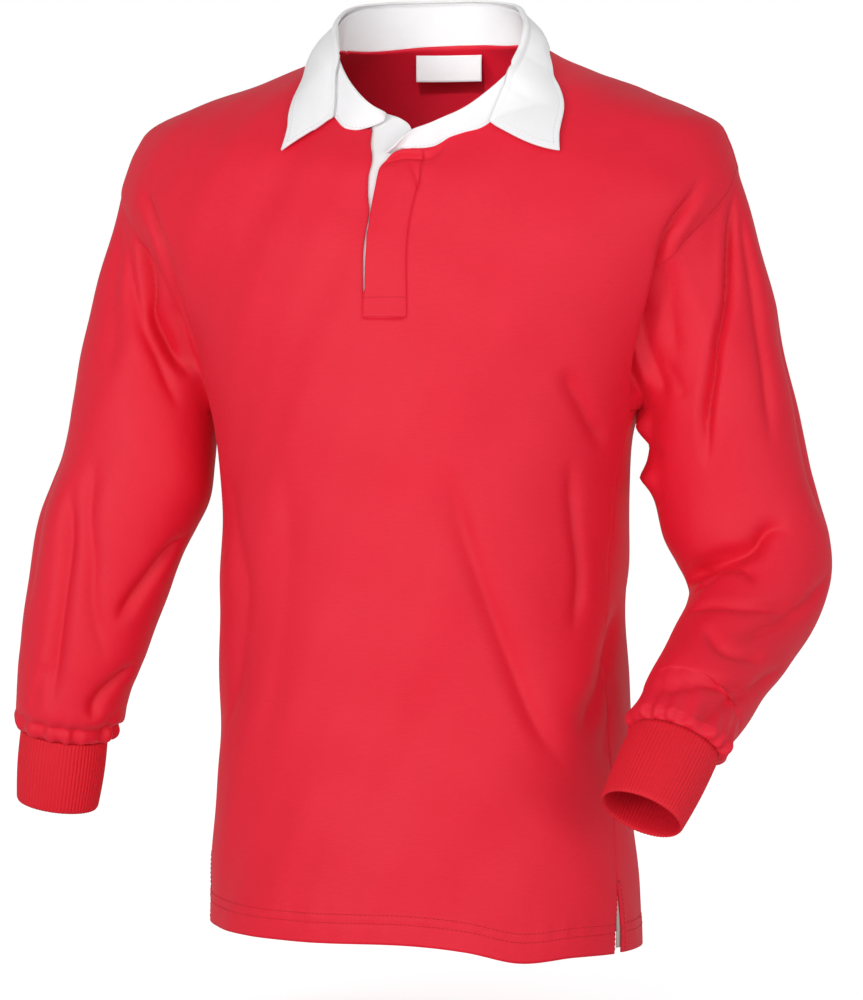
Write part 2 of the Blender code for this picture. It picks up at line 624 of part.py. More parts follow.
def sleeve_grid(sign, rings, head_rows, arm_rows):
    """Points of a sleeve: the head that bends away from the armhole, then the arm."""
    hole, normals, away, around = armhole_loop(sign)
    count = len(around)
    first, second = (sleeve_point(sign, rings, around, np.full(count, share))
                     for share in (0.0, 0.04))
    down = unit(second - first)
    span = np.linalg.norm(first - hole, axis=1)[:, None]
    start = unit(away + 1.2 * ease(span / 0.12) * unit(first - hole))
    rows = []
    for part in (0.0, 0.04, *np.linspace(0, 1, head_rows)[1:-1]):
        rows.append(hole * (1 + 2 * part) * (1 - part) ** 2
                    + first * part ** 2 * (3 - 2 * part)
                    + start * span * 0.9 * part * (1 - part) ** 2
                    - down * span * 0.9 * part ** 2 * (1 - part))
    rows[0] = hole + away * SEAM_GAP
    for share in np.linspace(0, 1, arm_rows):
        rows.append(sleeve_point(sign, rings, around, np.full(count, share)))
    return np.array(rows), normals, around


def gather_rows(sign, cuff_ends, around):
    """The foot of a sleeve, pouched over the cuff and gathered down onto it."""
    count = len(around)
    cuff = sleeve_point(sign, cuff_ends, around, np.zeros(count))
    middle = np.array(cuff_ends[0][:3])
    axis = unit(np.array(cuff_ends[1][:3]) - middle)
    out = unit(cuff - middle)
    wave = np.cos(np.radians(around) * GATHERS)[:, None] * GATHER_DEPTH
    rows = []
    for rise, proud, share in ((0.0150, 0.0075, 0.5), (0.0080, 0.0080, 1.0),
                               (0.0032, 0.0050, 0.8)):
        rows.append(cuff - axis * rise + out * (proud + wave * share))
    rows.append(cuff - axis * SEAM_GAP)
    return rows


def make_sleeve(name, sign, rings, cuff_ends, folds, collection):
    """One long sleeve."""
    points, seam_normals, around = sleeve_grid(sign, rings, head_rows=6, arm_rows=12)
    plain = np.concatenate([points, gather_rows(sign, cuff_ends, around)])
    numbers = np.arange(len(plain), dtype=float)

    def place(angle, row):
        column = np.interp(angle % 360, [*around, 360.0], np.arange(len(around) + 1))
        low, share = int(column) % len(around), column % 1
        line = plain[:, low] * (1 - share) + plain[:, (low + 1) % len(around)] * share
        return blend_rows(np.column_stack([numbers, line]), np.array(float(row)))

    points = plain[:, ::-1] if sign < 0 else plain
    seam_normals = seam_normals[::-1] if sign < 0 else seam_normals
    normals = grid_normals(points, True)
    settle = (ease((numbers - 1.0) / 2.0) * ease((numbers[-1] - numbers) / 2.0))[:, None]
    offsets = fold_offsets(points, normals, folds, place) * settle
    points = points + normals * offsets[..., None]
    normals = grid_normals(points, True)
    normals[0] = seam_normals
    return cloth(name, points, JERSEY, RED_JERSEY, collection, closed=True, normals=normals)


def make_cuff(name, sign, ends, collection):
    """A ribbed cuff: ribs in the outer points, plain inside, open at both ends."""
    per_rib = 2
    count = RIB_COUNT * per_rib
    around = np.arange(count) * 360.0 / count
    rib = np.where(np.arange(count) % per_rib == 0, RIB_DEPTH, 0.0)[:, None]
    start, end = np.array(ends[0][:3]), np.array(ends[1][:3])
    axis = unit(end - start)
    loops = []
    for share, swell in ((0.0, 0.0), (0.45, 0.0012), (1.0, 0.0)):
        ring = sleeve_point(sign, ends, around, np.full(count, share))
        middle = start + (end - start) * share
        out = unit(ring - middle)
        loops.append(ring + out * (rib + swell))
    for share in (1.0, 0.0):
        ring = sleeve_point(sign, ends, around, np.full(count, share))
        middle = start + (end - start) * share
        loops.append(ring - unit(ring - middle) * CUFF_WALL)
    loops[2] -= axis * 0.0008
    if sign < 0:
        loops = [loop[::-1] for loop in loops]
    faces = []
    for row in range(len(loops)):
        below = (row + 1) % len(loops)
        for column in range(count):
            beside = (column + 1) % count
            faces.append((row * count + column, row * count + beside,
                          below * count + beside, below * count + column))
    return add_object(name, np.concatenate(loops), faces, RED_RIB, collection)


# ---------------------------------------------------------------- collar, placket, label
def neck_corners():
    """Turns of the panels' neck points, from the left front round to the right front."""
    half = [*FRONT_NECK_TURNS, 90.0, *BACK_NECK_TURNS]
    return np.array([-360.0 + PLACKET_LEFT, *[-360.0 + turn for turn in half], -180.0,
                     *[-turn for turn in half[::-1]], PLACKET_RIGHT])


def neck_edge(turns):
    """Points on the panels' neckline, which runs straight between their own points."""
    corners = neck_corners()
    wrapped = (corners + 180) % 360 - 180
    heights = neck_height(wrapped)
    points = body_surface(wrapped, heights)
    return np.stack([np.interp(turns, corners, points[:, axis]) for axis in range(3)], axis=-1)


def stand_lines(positions):
    """Foot and top of the stand at places given as row numbers of its table."""
    numbers = np.arange(len(STAND_STATIONS), dtype=float)
    table = [(number, row[0], *row[2:]) for number, row in zip(numbers, STAND_STATIONS)]
    turns, *top = np.moveaxis(blend_rows(table, positions), -1, 0)
    foot = neck_edge(turns)
    for number, row in zip(numbers, STAND_STATIONS):
        if row[1] is not None:
            wrapped = (row[0] + 180) % 360 - 180
            own = body_surface(np.array(wrapped), np.array(row[1]), 0.0012)
            weight = ease(1 - np.abs(positions - number) / 0.8)[..., None]
            foot = foot * (1 - weight) + own * weight
    top = np.stack(top, axis=-1)
    return foot + unit(top - foot) * 0.0006, top


def stand_positions():
    """Places along the stand at the panels' own neck points and midway between them."""
    fine = np.linspace(0, len(STAND_STATIONS) - 1, 2000)
    table = [(number, row[0]) for number, row in enumerate(STAND_STATIONS)]
    turns = blend_rows(table, fine)[:, 0]
    corners = neck_corners()
    stops = np.sort(np.concatenate([corners, (corners[1:] + corners[:-1]) / 2]))
    stops = stops[(stops > turns[-1] + 2.0) & (stops < turns[0] - 2.0)]
    found = np.interp(-stops[::-1], -turns, fine)
    return np.concatenate([[0.0], found, [fine[-1]]])


def stand_out(foot, top):
    """The way out of the stand's outside at each of its rulings."""
    along_it = np.gradient((foot + top) / 2, axis=0)
    return unit(np.cross(top - foot, along_it))


def make_stand(collection):
    """The neck band, from the neck seam to the edge that the leaf rolls over."""
    positions = stand_positions()
    foot, top = stand_lines(positions)
    points = np.array([foot, (foot + top) / 2, top])
    return cloth("collar_stand", points[:, ::-1], TWILL, WHITE_TWILL, collection)


def roll_over(foot, top, out, rise, drop, step):
    """Points a step past the start of the roll, at a share of the way down the stand."""
    outward = -0.0009 + (LEAF_CLEAR + 0.0009) * np.maximum(ease(step / 0.005),
                                                           ease(drop / 0.06))
    upward = LEAF_CLEAR * 1.2 * (1 - ease((drop - 0.05) / 0.2)) - max(step - 0.003, 0.0)
    return (top + (foot - top) * drop[:, None] + out * outward[:, None]
            + rise * upward[:, None])


def make_leaf(collection):
    """The fall of the collar, rolled over the stand and down onto the shoulders."""
    numbers = np.arange(len(LEAF_STATIONS), dtype=float)
    table = [(number, *row) for number, row in zip(numbers, LEAF_STATIONS)]
    walk = blend_rows(table, np.linspace(0, numbers[-1], 43))
    position, drop, turns, heights, lift = np.moveaxis(walk, -1, 0)
    foot, top = stand_lines(position)
    out = stand_out(foot, top)
    rise = unit(np.cross(np.gradient(top, axis=0), out))
    rise *= np.sign(np.einsum("ij,ij->i", rise, top - foot))[:, None]
    wrapped = (turns + 180) % 360 - 180
    edge = body_point(wrapped, heights) + body_normal(wrapped, heights) * lift[:, None]
    rows = [roll_over(foot, top, out, rise, drop, step) for step in (0.0, 0.0045, 0.0090)]
    start = rows.pop()
    for share in (0.0, 0.25, 0.5, 0.76, 1.0):
        bulge = 4 * share * (1 - share)
        rows.append(start + (edge - start) * share + out * 0.003 * bulge)
    points = np.array(rows)
    turns, heights = onto_body(points)
    normals = body_normal(turns, heights)
    gap = np.einsum("...k,...k", points - body_surface(turns, heights), normals)
    short = np.where(points[..., 2] < BODY_RINGS[-1][0], LEAF_CLEAR + 0.0006 - gap, 0.0)
    points = points + normals * np.maximum(short, 0.0)[..., None]
    return cloth("collar_leaf", points, TWILL, WHITE_TWILL, collection)


def strip(right_turns, left_turns, heights, columns, lift):
    """Points of a strip on the body between two edges, moved out by lift."""
    share = np.linspace(0, 1, columns)[None, :]
    turns = np.array(right_turns)[:, None] * (1 - share) + np.array(left_turns)[:, None] * share
    if np.ndim(heights) == 1:
        heights = np.repeat(np.array(heights)[:, None], columns, axis=1)
    return body_surface(turns, heights, lift)


def make_placket(collection):
    """The red overlap, flush in the notch, and the white underlap behind it."""
    gap = math.degrees(SEAM_GAP / 0.135)
    rows, columns = 9, 5
    up = np.linspace(0, 1, rows)[:, None]
    top = np.linspace(-0.0985, -0.0900, columns)[None, :]
    heights = PLACKET_FOOT + SEAM_GAP + up * (top - PLACKET_FOOT - SEAM_GAP)
    right = blend_rows(OVERLAP_EDGE, heights[:, 0])[:, 0] + gap
    left = np.full(rows, PLACKET_LEFT - gap)
    points = strip(right, left, heights, columns, 0.0004)
    cloth("placket_overlap", points, JERSEY, RED_JERSEY, collection)
    top = np.array([-0.0620, -0.0610, -0.0640, -0.0700])[None, :]
    heights = PLACKET_BOX + up * (top - PLACKET_BOX)
    right = np.full(rows, PLACKET_RIGHT - 1.2)
    left = np.full(rows, PLACKET_LEFT - 1.6)
    points = strip(right, left, heights, 4, -JERSEY - 0.0009)
    cloth("placket_underlap", points, TWILL, WHITE_TWILL, collection)


def make_label(collection):
    """The bare woven label, hanging inside the back from the neck seam."""
    width, drop = LABEL_SIZE
    columns, rows = 5, 3
    top = -0.0025
    half_turn = math.degrees(width / 2 / 0.070)
    turns = np.linspace(LABEL_TURN - half_turn, LABEL_TURN + half_turn, columns)
    seam = body_point(turns, np.full(columns, top))
    seam = seam - unit(seam * np.array([1.0, 1.0, 0.0])) * (JERSEY + 0.0032)
    hang = np.linspace(drop, 0, rows)[:, None, None] * np.array([0.0, 0.0, 1.0])
    return cloth("label", (seam[None] - hang), LABEL_WALL, WHITE_SATIN, collection)


def make_vent_tape(name, sign, collection):
    """The tape that backs a side vent's rear edge."""
    rows = 6
    foot = float(blend_rows(HEM, sign * SIDE_SEAM_TURN)[0]) + 0.004
    heights = np.linspace(foot, VENT_TOP + 0.010, rows)
    share = ease((VENT_TOP - heights) / (VENT_TOP - foot))
    front = SIDE_SEAM_TURN + share * (VENT_SPREAD - 1.6) - 0.6 * (1 - share)
    back = front + 4.2
    edges = (front, back) if sign > 0 else (-back, -front)
    points = strip(*edges, heights, 3, -JERSEY - 0.0006)
    return cloth(name, points, TAPE, STONE_TAPE, collection)


def main():
    """Build the shirt."""
    for old in list(bpy.data.objects):
        bpy.data.objects.remove(old, do_unlink=True)
    collection = bpy.data.collections.new("rugby_shirt")
    bpy.context.scene.collection.children.link(collection)
    make_front(collection)
    make_back(collection)
    make_sleeve("sleeve_left", 1, LEFT_SLEEVE_RINGS, LEFT_CUFF_ENDS,
                LEFT_SLEEVE_FOLDS, collection)
    make_sleeve("sleeve_right", -1, RIGHT_SLEEVE_RINGS, RIGHT_CUFF_ENDS,
                RIGHT_SLEEVE_FOLDS, collection)
    make_cuff("cuff_left", 1, LEFT_CUFF_ENDS, collection)
    make_cuff("cuff_right", -1, RIGHT_CUFF_ENDS, collection)
    make_stand(collection)
    make_leaf(collection)
    make_placket(collection)
    make_label(collection)
    make_vent_tape("vent_tape_left", 1, collection)
    make_vent_tape("vent_tape_right", -1, collection)


main()
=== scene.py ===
"""The looks of a long-sleeved rugby shirt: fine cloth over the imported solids.

Every cut piece is laid again on the same rings, necklines and seams as its solid, with a
closer grid, its creases, its knit or twill and its stitching. Metres, +Z up, the front
faces -Y and the wearer's left is +X. A place on the body is a turn round it, in degrees
from the centre front towards the wearer's left, and a height. A place on a sleeve is an
angle round it, from its outer edge over the front, and a row: 0 at the armhole, 6 below
the underarm, 17 above the cuff and 21 on the cuff's seam.
"""
import math

import bpy
import numpy as np
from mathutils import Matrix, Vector


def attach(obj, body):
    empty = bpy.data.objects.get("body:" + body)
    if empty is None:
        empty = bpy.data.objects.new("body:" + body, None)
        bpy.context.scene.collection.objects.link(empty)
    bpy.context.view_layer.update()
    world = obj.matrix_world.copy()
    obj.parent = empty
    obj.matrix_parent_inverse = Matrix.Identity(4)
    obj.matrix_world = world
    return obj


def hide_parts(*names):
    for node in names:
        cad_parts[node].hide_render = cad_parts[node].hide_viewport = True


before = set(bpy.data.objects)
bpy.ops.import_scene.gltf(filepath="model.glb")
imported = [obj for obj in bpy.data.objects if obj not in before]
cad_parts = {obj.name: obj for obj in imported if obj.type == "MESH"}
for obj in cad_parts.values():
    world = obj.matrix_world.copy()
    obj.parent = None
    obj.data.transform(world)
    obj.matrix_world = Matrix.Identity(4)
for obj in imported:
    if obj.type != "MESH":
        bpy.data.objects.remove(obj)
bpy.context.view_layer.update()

# ---------------------------------------------------------------- sizes, metres
JERSEY = 0.0016            # wall of the heavy cotton jersey
TWILL = 0.0018             # wall of the collar's cotton twill
TAPE = 0.0010              # wall of the vent tape
SEAM_GAP = 0.0003          # between two sewn pieces
SEAM_DIP = 0.0007          # how far the cloth dips into a seam
CUFF_WALL = 0.0022         # two layers of rib
RIB_DEPTH = 0.0007         # how far a rib stands proud
RIB_COUNT = 72
POINTS_A_RIB = 6
CUFF_SWELL = 0.0012        # how far a cuff rounds out half way down
GATHERS = 11               # folds where a sleeve is gathered onto its cuff
GATHER_DEPTH = 0.0012
PLEAT_DEPTH = 0.0019       # uneven pleats above the gathers
SIDE_SEAM_TURN = 75.0
UNDERARM_LEVEL = 0.62      # share of a panel's rows below the underarm
UNDERARM = -0.298
EDGE_PULL = 1.5
TOP_PULL = 2.5
CORE_HEIGHT = -0.200
SHOULDER_END = -0.100
SEAM_LEAN_FROM = -0.450    # where the side seam starts to lean back
SEAM_LEAN_HEIGHT = 0.152
VENT_TOP = -0.663
VENT_SPREAD = 2.2
PLACKET_RIGHT = -3.45
PLACKET_LEFT = 4.2
PLACKET_FOOT = -0.2235
PLACKET_BOX = -0.2070
OVERLAP_FOOT = PLACKET_FOOT - 0.0020
OVERLAP_TOP = -0.0868
OVERLAP_LIFT = 0.0002      # over the front's own surface
OVERLAP_CROWN = 0.0008     # how far its middle rises
OVERLAP_TUCK = 0.0016      # how far its sewn edges go in
UNDERLAP_CLEAR = 0.0009    # below the front's inner side
BOX_STITCH_HEIGHTS = (-0.2075, -0.2228)
LABEL_SIZE = (0.049, 0.022)
LABEL_TURN = 186.0
LABEL_WALL = 0.0010
LEAF_CLEAR = 0.0034
LEAF_BULGE = 0.003         # how far the fall rounds out half way down
BULGE_LOST = 0.0028        # of that, from BULGE_END along the stand on
BULGE_END = 11.5
HEM_LINES = (0.0165, 0.0235)   # the two rows of hem stitching, up from its edge
HEM_STEP = 0.0007          # the turned-up hem over the single cloth
HEM_GROOVE = 0.00045       # at each row of stitching
HEM_PUCKER = 0.0005

# Rings of the body: height, half width, depth to the front, depth to the back,
# squareness, shift of the ring's middle towards the wearer's left
BODY_RINGS = (
    (-0.800, 0.179, 0.140, 0.126, 2.25, -0.006),
    (-0.735, 0.178, 0.139, 0.125, 2.25, -0.006),
    (-0.600, 0.172, 0.133, 0.119, 2.25, -0.006),
    (-0.450, 0.168, 0.135, 0.116, 2.25, -0.005),
    (-0.300, 0.176, 0.140, 0.123, 2.25, -0.004),
    (-0.260, 0.190, 0.140, 0.124, 2.20, -0.003),
    (-0.220, 0.208, 0.138, 0.124, 2.20, -0.003),
    (-0.180, 0.231, 0.134, 0.122, 2.15, -0.003),
    (-0.150, 0.251, 0.130, 0.119, 2.10, -0.003),
    (-0.125, 0.262, 0.125, 0.115, 2.05, -0.003),
    (-0.100, 0.258, 0.118, 0.110, 2.00, -0.003),
    (-0.080, 0.251, 0.107, 0.106, 2.00, -0.003),
    (-0.064, 0.240, 0.096, 0.100, 2.00, -0.002),
    (-0.030, 0.152, 0.070, 0.086, 2.00, 0.004),
    (0.000, 0.080, 0.052, 0.068, 2.00, 0.007),
    (0.006, 0.066, 0.050, 0.064, 2.00, 0.007),
)

# The hem: turn, height
HEM = (
    (-180.0, -0.722), (-120.0, -0.716), (-75.0, -0.716), (-50.0, -0.719), (-18.0, -0.721),
    (8.0, -0.721), (20.0, -0.725), (34.0, -0.734), (53.0, -0.732), (75.0, -0.733),
    (120.0, -0.732), (180.0, -0.722),
)

# The neckline: turn, height on the wearer's right, height on the wearer's left
NECKLINE = (
    (0.0, -0.0745, -0.0885), (5.0, -0.0712, -0.0880), (8.0, -0.0712, -0.0855),
    (10.0, -0.0695, -0.0800), (13.0, -0.0610, -0.0755), (16.5, -0.0545, -0.0720),
    (19.5, -0.0498, -0.0640), (23.0, -0.0440, -0.0515), (32.0, -0.0305, -0.0320),
    (46.0, -0.0150, -0.0150), (64.0, -0.0050, -0.0050), (90.0, 0.0000, 0.0000),
    (125.0, 0.0020, 0.0020), (155.0, 0.0040, 0.0040), (180.0, 0.0050, 0.0050),
)

# The armhole, from the top of the shoulder to the side seam: forward of the middle, height
ARMHOLE_FRONT = (
    (0.000, -0.100), (0.012, -0.106), (0.027, -0.121), (0.042, -0.143), (0.052, -0.160),
    (0.0585, -0.183), (0.0525, -0.215), (0.043, -0.250), (0.031, -0.278), (0.022, -0.298),
)
ARMHOLE_BACK = (
    (0.000, -0.100), (-0.022, -0.108), (-0.037, -0.122), (-0.050, -0.143), (-0.058, -0.162),
    (-0.063, -0.190), (-0.062, -0.222), (-0.055, -0.250), (-0.041, -0.273),
    (-0.022, -0.288), (0.000, -0.296), (0.022, -0.298),
)

# Sleeves: x, y, z of the middle, half width across the arm, half depth
LEFT_SLEEVE_RINGS = (
    (0.2420, 0.012, -0.292, 0.060, 0.057),
    (0.2460, 0.020, -0.340, 0.064, 0.057),
    (0.2550, 0.024, -0.386, 0.067, 0.056),
    (0.2680, 0.020, -0.428, 0.060, 0.056),
    (0.2640, -0.004, -0.462, 0.050, 0.052),
    (0.2515, -0.042, -0.494, 0.0450, 0.048),
    (0.2400, -0.086, -0.526, 0.0435, 0.045),
    (0.2368, -0.0985, -0.535, 0.0420, 0.042),
)
RIGHT_SLEEVE_RINGS = (
    (-0.2460, -0.008, -0.296, 0.061, 0.057),
    (-0.2520, -0.011, -0.348, 0.066, 0.057),
    (-0.2680, -0.015, -0.389, 0.064, 0.056),
    (-0.2770, -0.017, -0.422, 0.061, 0.055),
    (-0.2940, -0.019, -0.488, 0.053, 0.049),
    (-0.3045, -0.017, -0.521, 0.0485, 0.046),
    (-0.3090, -0.015, -0.550, 0.0455, 0.042),
)
# Cuffs, at the seam and at the open end: the same columns
LEFT_CUFF_ENDS = ((0.2310, -0.1290, -0.5560, 0.0365, 0.0300),
                  (0.2130, -0.1690, -0.6080, 0.0335, 0.0300))
RIGHT_CUFF_ENDS = ((-0.3150, -0.0120, -0.5680, 0.0365, 0.0300),
                   (-0.3250, -0.0020, -0.6270, 0.0340, 0.0300))
# The roll of cloth above a cuff: distance up from the seam, how far it stands out, share
# of the gathers' depth
CUFF_ROLL = ((0.0150, 0.0058, 0.5), (0.0080, 0.0064, 1.0), (0.0032, 0.0044, 0.8))

# Heights of the shoulder seam, from the neck out
SHOULDER_SEAM = (-0.0008, -0.016, -0.031, -0.047, -0.066, -0.093, SHOULDER_END)

# Stand of the collar: turn and height of its foot (None takes the neckline), x, y, z of
# its top edge, from the wearer's right front round the back to the left front
STAND_STATIONS = (
    (-2.5, -0.0650, -0.0110, -0.1030, -0.0612),
    (-9.0, None, -0.0300, -0.0960, -0.0480),
    (-14.0, None, -0.0480, -0.0800, -0.0310),
    (-21.0, None, -0.0620, -0.0600, -0.0120),
    (-33.0, None, -0.0710, -0.0380, 0.0030),
    (-52.0, None, -0.0770, -0.0100, 0.0180),
    (-90.0, None, -0.0740, 0.0260, 0.0320),
    (-122.0, None, -0.0550, 0.0570, 0.0380),
    (-160.0, None, -0.0200, 0.0760, 0.0400),
    (-200.0, None, 0.0220, 0.0780, 0.0400),
    (-238.0, None, 0.0580, 0.0480, 0.0330),
    (-270.0, None, 0.0750, 0.0120, 0.0220),
    (-308.0, None, 0.0856, -0.0240, 0.0100),
    (-327.0, None, 0.0880, -0.0530, -0.0100),
    (-339.0, None, 0.0822, -0.0770, -0.0290),
    (-346.0, None, 0.0560, -0.0930, -0.0535),
    (-352.0, None, 0.0336, -0.1060, -0.0660),
    (-358.0, -0.0892, 0.0130, -0.1160, -0.0765),
    (-360.6, -0.0935, 0.0020, -0.1190, -0.0885),
)
# Leaf: place along the stand, share of the way down it where the leaf turns over, turn
# and height that its free edge reaches, how far that edge stands off the body
LEAF_STATIONS = (
    (1.82, 1.00, -21.0, -0.0910, 0.0050),
    (2.0, 0.72, -21.0, -0.0800, 0.0050),
    (2.25, 0.47, -21.8, -0.0680, 0.0055),
    (2.58, 0.23, -25.0, -0.0540, 0.0060),
    (3.0, 0.06, -32.0, -0.0390, 0.0060),
    (3.6, 0.00, -44.0, -0.0245, 0.0060),
    (4.4, 0.00, -62.0, -0.0135, 0.0060),
    (5.3, 0.00, -84.0, -0.0085, 0.0060),
    (6.2, 0.00, -112.0, -0.0100, 0.0070),
    (7.2, 0.00, -145.0, -0.0160, 0.0090),
    (8.5, 0.00, -180.0, -0.0180, 0.0120),
    (9.8, 0.00, -213.0, -0.0120, 0.0080),
    (10.6, 0.00, -237.0, -0.0040, 0.0055),
    (11.4, 0.00, -266.0, -0.0030, 0.0050),
    (11.9, 0.00, -285.0, -0.0075, 0.0050),
    (12.4, 0.00, -301.0, -0.0155, 0.0050),
    (13.0, 0.00, -314.0, -0.0300, 0.0050),
    (13.5, 0.00, -321.5, -0.0450, 0.0050),
    (13.95, 0.12, -326.5, -0.0630, 0.0050),
    (14.2, 0.50, -328.2, -0.0790, 0.0050),
    (14.37, 1.00, -328.5, -0.0935, 0.0050),
)
# The placket, each edge by height and turn: the front's edge on the wearer's right, the
# overlap's free edge, and the seam on the wearer's left
NOTCH_EDGE = (
    (-0.2235, -3.45), (-0.1938, -3.50), (-0.1700, -3.48), (-0.1580, -3.26), (-0.1500, -3.05),
    (-0.1430, -2.85), (-0.1350, -2.95), (-0.1270, -3.25), (-0.1183, -3.42), (-0.1082, -3.50),
    (-0.1022, -3.30), (-0.0957, -3.35), (-0.0845, -4.15), (-0.0700, -4.75),
)
OVERLAP_EDGE = (
    (-0.2270, -4.70), (-0.2110, -4.60), (-0.2070, -3.95), (-0.2040, -3.35), (-0.2018, -3.18),
    (-0.1938, -3.10), (-0.1795, -3.04), (-0.1660, -2.92), (-0.1577, -2.90), (-0.1500, -2.70),
    (-0.1420, -2.62), (-0.1350, -2.48), (-0.1270, -2.30), (-0.1201, -2.12), (-0.1110, -1.93),
    (-0.1037, -1.60), (-0.0985, -0.80), (-0.0932, 0.35), (-0.0895, 1.80), (-0.0872, 3.40),
)
PLACKET_SEAM = (
    (-0.2270, 4.15), (-0.1350, 4.20), (-0.1250, 4.70), (-0.1150, 5.30), (-0.1000, 5.75),
    (-0.0800, 5.90),
)
UNDERLAP_TOP = (   # turn and height
    (-5.05, -0.0560), (-2.0, -0.0588), (0.75, -0.0632), (2.5, -0.0685), (3.3, -0.0740),
)
FRONT_NECK_TURNS = (9.0, 14.0, 21.0, 30.0, 42.0, 57.0, 75.0)
BACK_NECK_TURNS = (104.0, 122.0, 140.0, 160.0)

# Creases: depth, half width, lean, then the places they pass. Depth below 0 is a ridge. A
# lean above 0 raises a ridge on the side towards the wearer's left of a path going down.
BODY_FOLDS = (
    # beside the armholes
    (0.0110, 0.010, 0.6, ((69, -0.104), (63, -0.127), (60.5, -0.157), (65.5, -0.190),
                          (70, -0.222), (74.5, -0.254), (79, -0.278), (82, -0.290))),
    (0.0120, 0.006, 0.5, ((66, -0.172), (68, -0.198), (71, -0.225), (75, -0.253),
                          (79, -0.276), (82, -0.292))),
    (0.0100, 0.010, -0.5, ((-62, -0.105), (-56, -0.135), (-56.5, -0.161), (-60, -0.185),
                           (-66, -0.213), (-70, -0.245), (-76, -0.275), (-83, -0.303))),
    # the rolled edge below the neck band
    (0.0040, 0.0026, 0.0, ((-1.8, -0.1040), (0.7, -0.0972), (2.4, -0.0955), (4.2, -0.0957),
                           (6.2, -0.0965), (7.6, -0.0955), (8.9, -0.0895), (9.8, -0.0790))),
    (-0.0020, 0.0030, 0.0, ((-1.0, -0.0985), (1.2, -0.0920), (3.4, -0.0905), (6.0, -0.0910),
                            (8.4, -0.0880))),
    (0.0018, 0.0018, 0.0, ((3.5, -0.0960), (4.3, -0.1060), (5.0, -0.1135), (5.3, -0.1250))),
    # drawn from the left underarm across the front and down
    (0.0060, 0.014, -0.5, ((44, -0.262), (54, -0.288), (64, -0.312), (73, -0.326))),
    (0.0080, 0.018, -0.4, ((14, -0.330), (20, -0.390), (26, -0.440), (35, -0.500),
                           (42, -0.545), (55, -0.590))),
    (0.0055, 0.012, -0.4, ((54, -0.330), (58, -0.390), (60, -0.440), (56, -0.478))),
    (0.0075, 0.016, 0.15, ((88, -0.450), (80, -0.480), (71, -0.516), (57, -0.562))),
    (0.0030, 0.011, 0.0, ((80, -0.505), (75, -0.540), (70, -0.585))),
    # down the wearer's right side
    (0.0045, 0.017, 0.15, ((-66, -0.335), (-54, -0.380), (-45, -0.440), (-50, -0.500),
                          (-62, -0.575))),
    (0.0025, 0.016, 0.0, ((-30, -0.310), (-26, -0.400), (-30, -0.500), (-36, -0.590))),
    # across the back
    (0.0060, 0.016, 0.4, ((104, -0.300), (122, -0.345), (140, -0.420), (150, -0.505))),
    (0.0050, 0.017, -0.4, ((-106, -0.300), (-124, -0.350), (-140, -0.430), (-152, -0.530))),
    (0.0045, 0.018, 0.0, ((170, -0.110), (166, -0.180), (158, -0.250), (150, -0.310))),
    (0.0040, 0.018, 0.0, ((-168, -0.120), (-163, -0.190), (-154, -0.265))),
    (0.0055, 0.013, -0.4, ((112, -0.125), (118, -0.165), (114, -0.215), (107, -0.255))),
    (0.0055, 0.013, 0.4, ((-112, -0.125), (-118, -0.165), (-114, -0.215), (-107, -0.255))),
    (0.0035, 0.015, 0.3, ((98, -0.420), (110, -0.480), (126, -0.560))),
    (0.0035, 0.015, -0.3, ((-98, -0.440), (-112, -0.510), (-122, -0.600))),
)
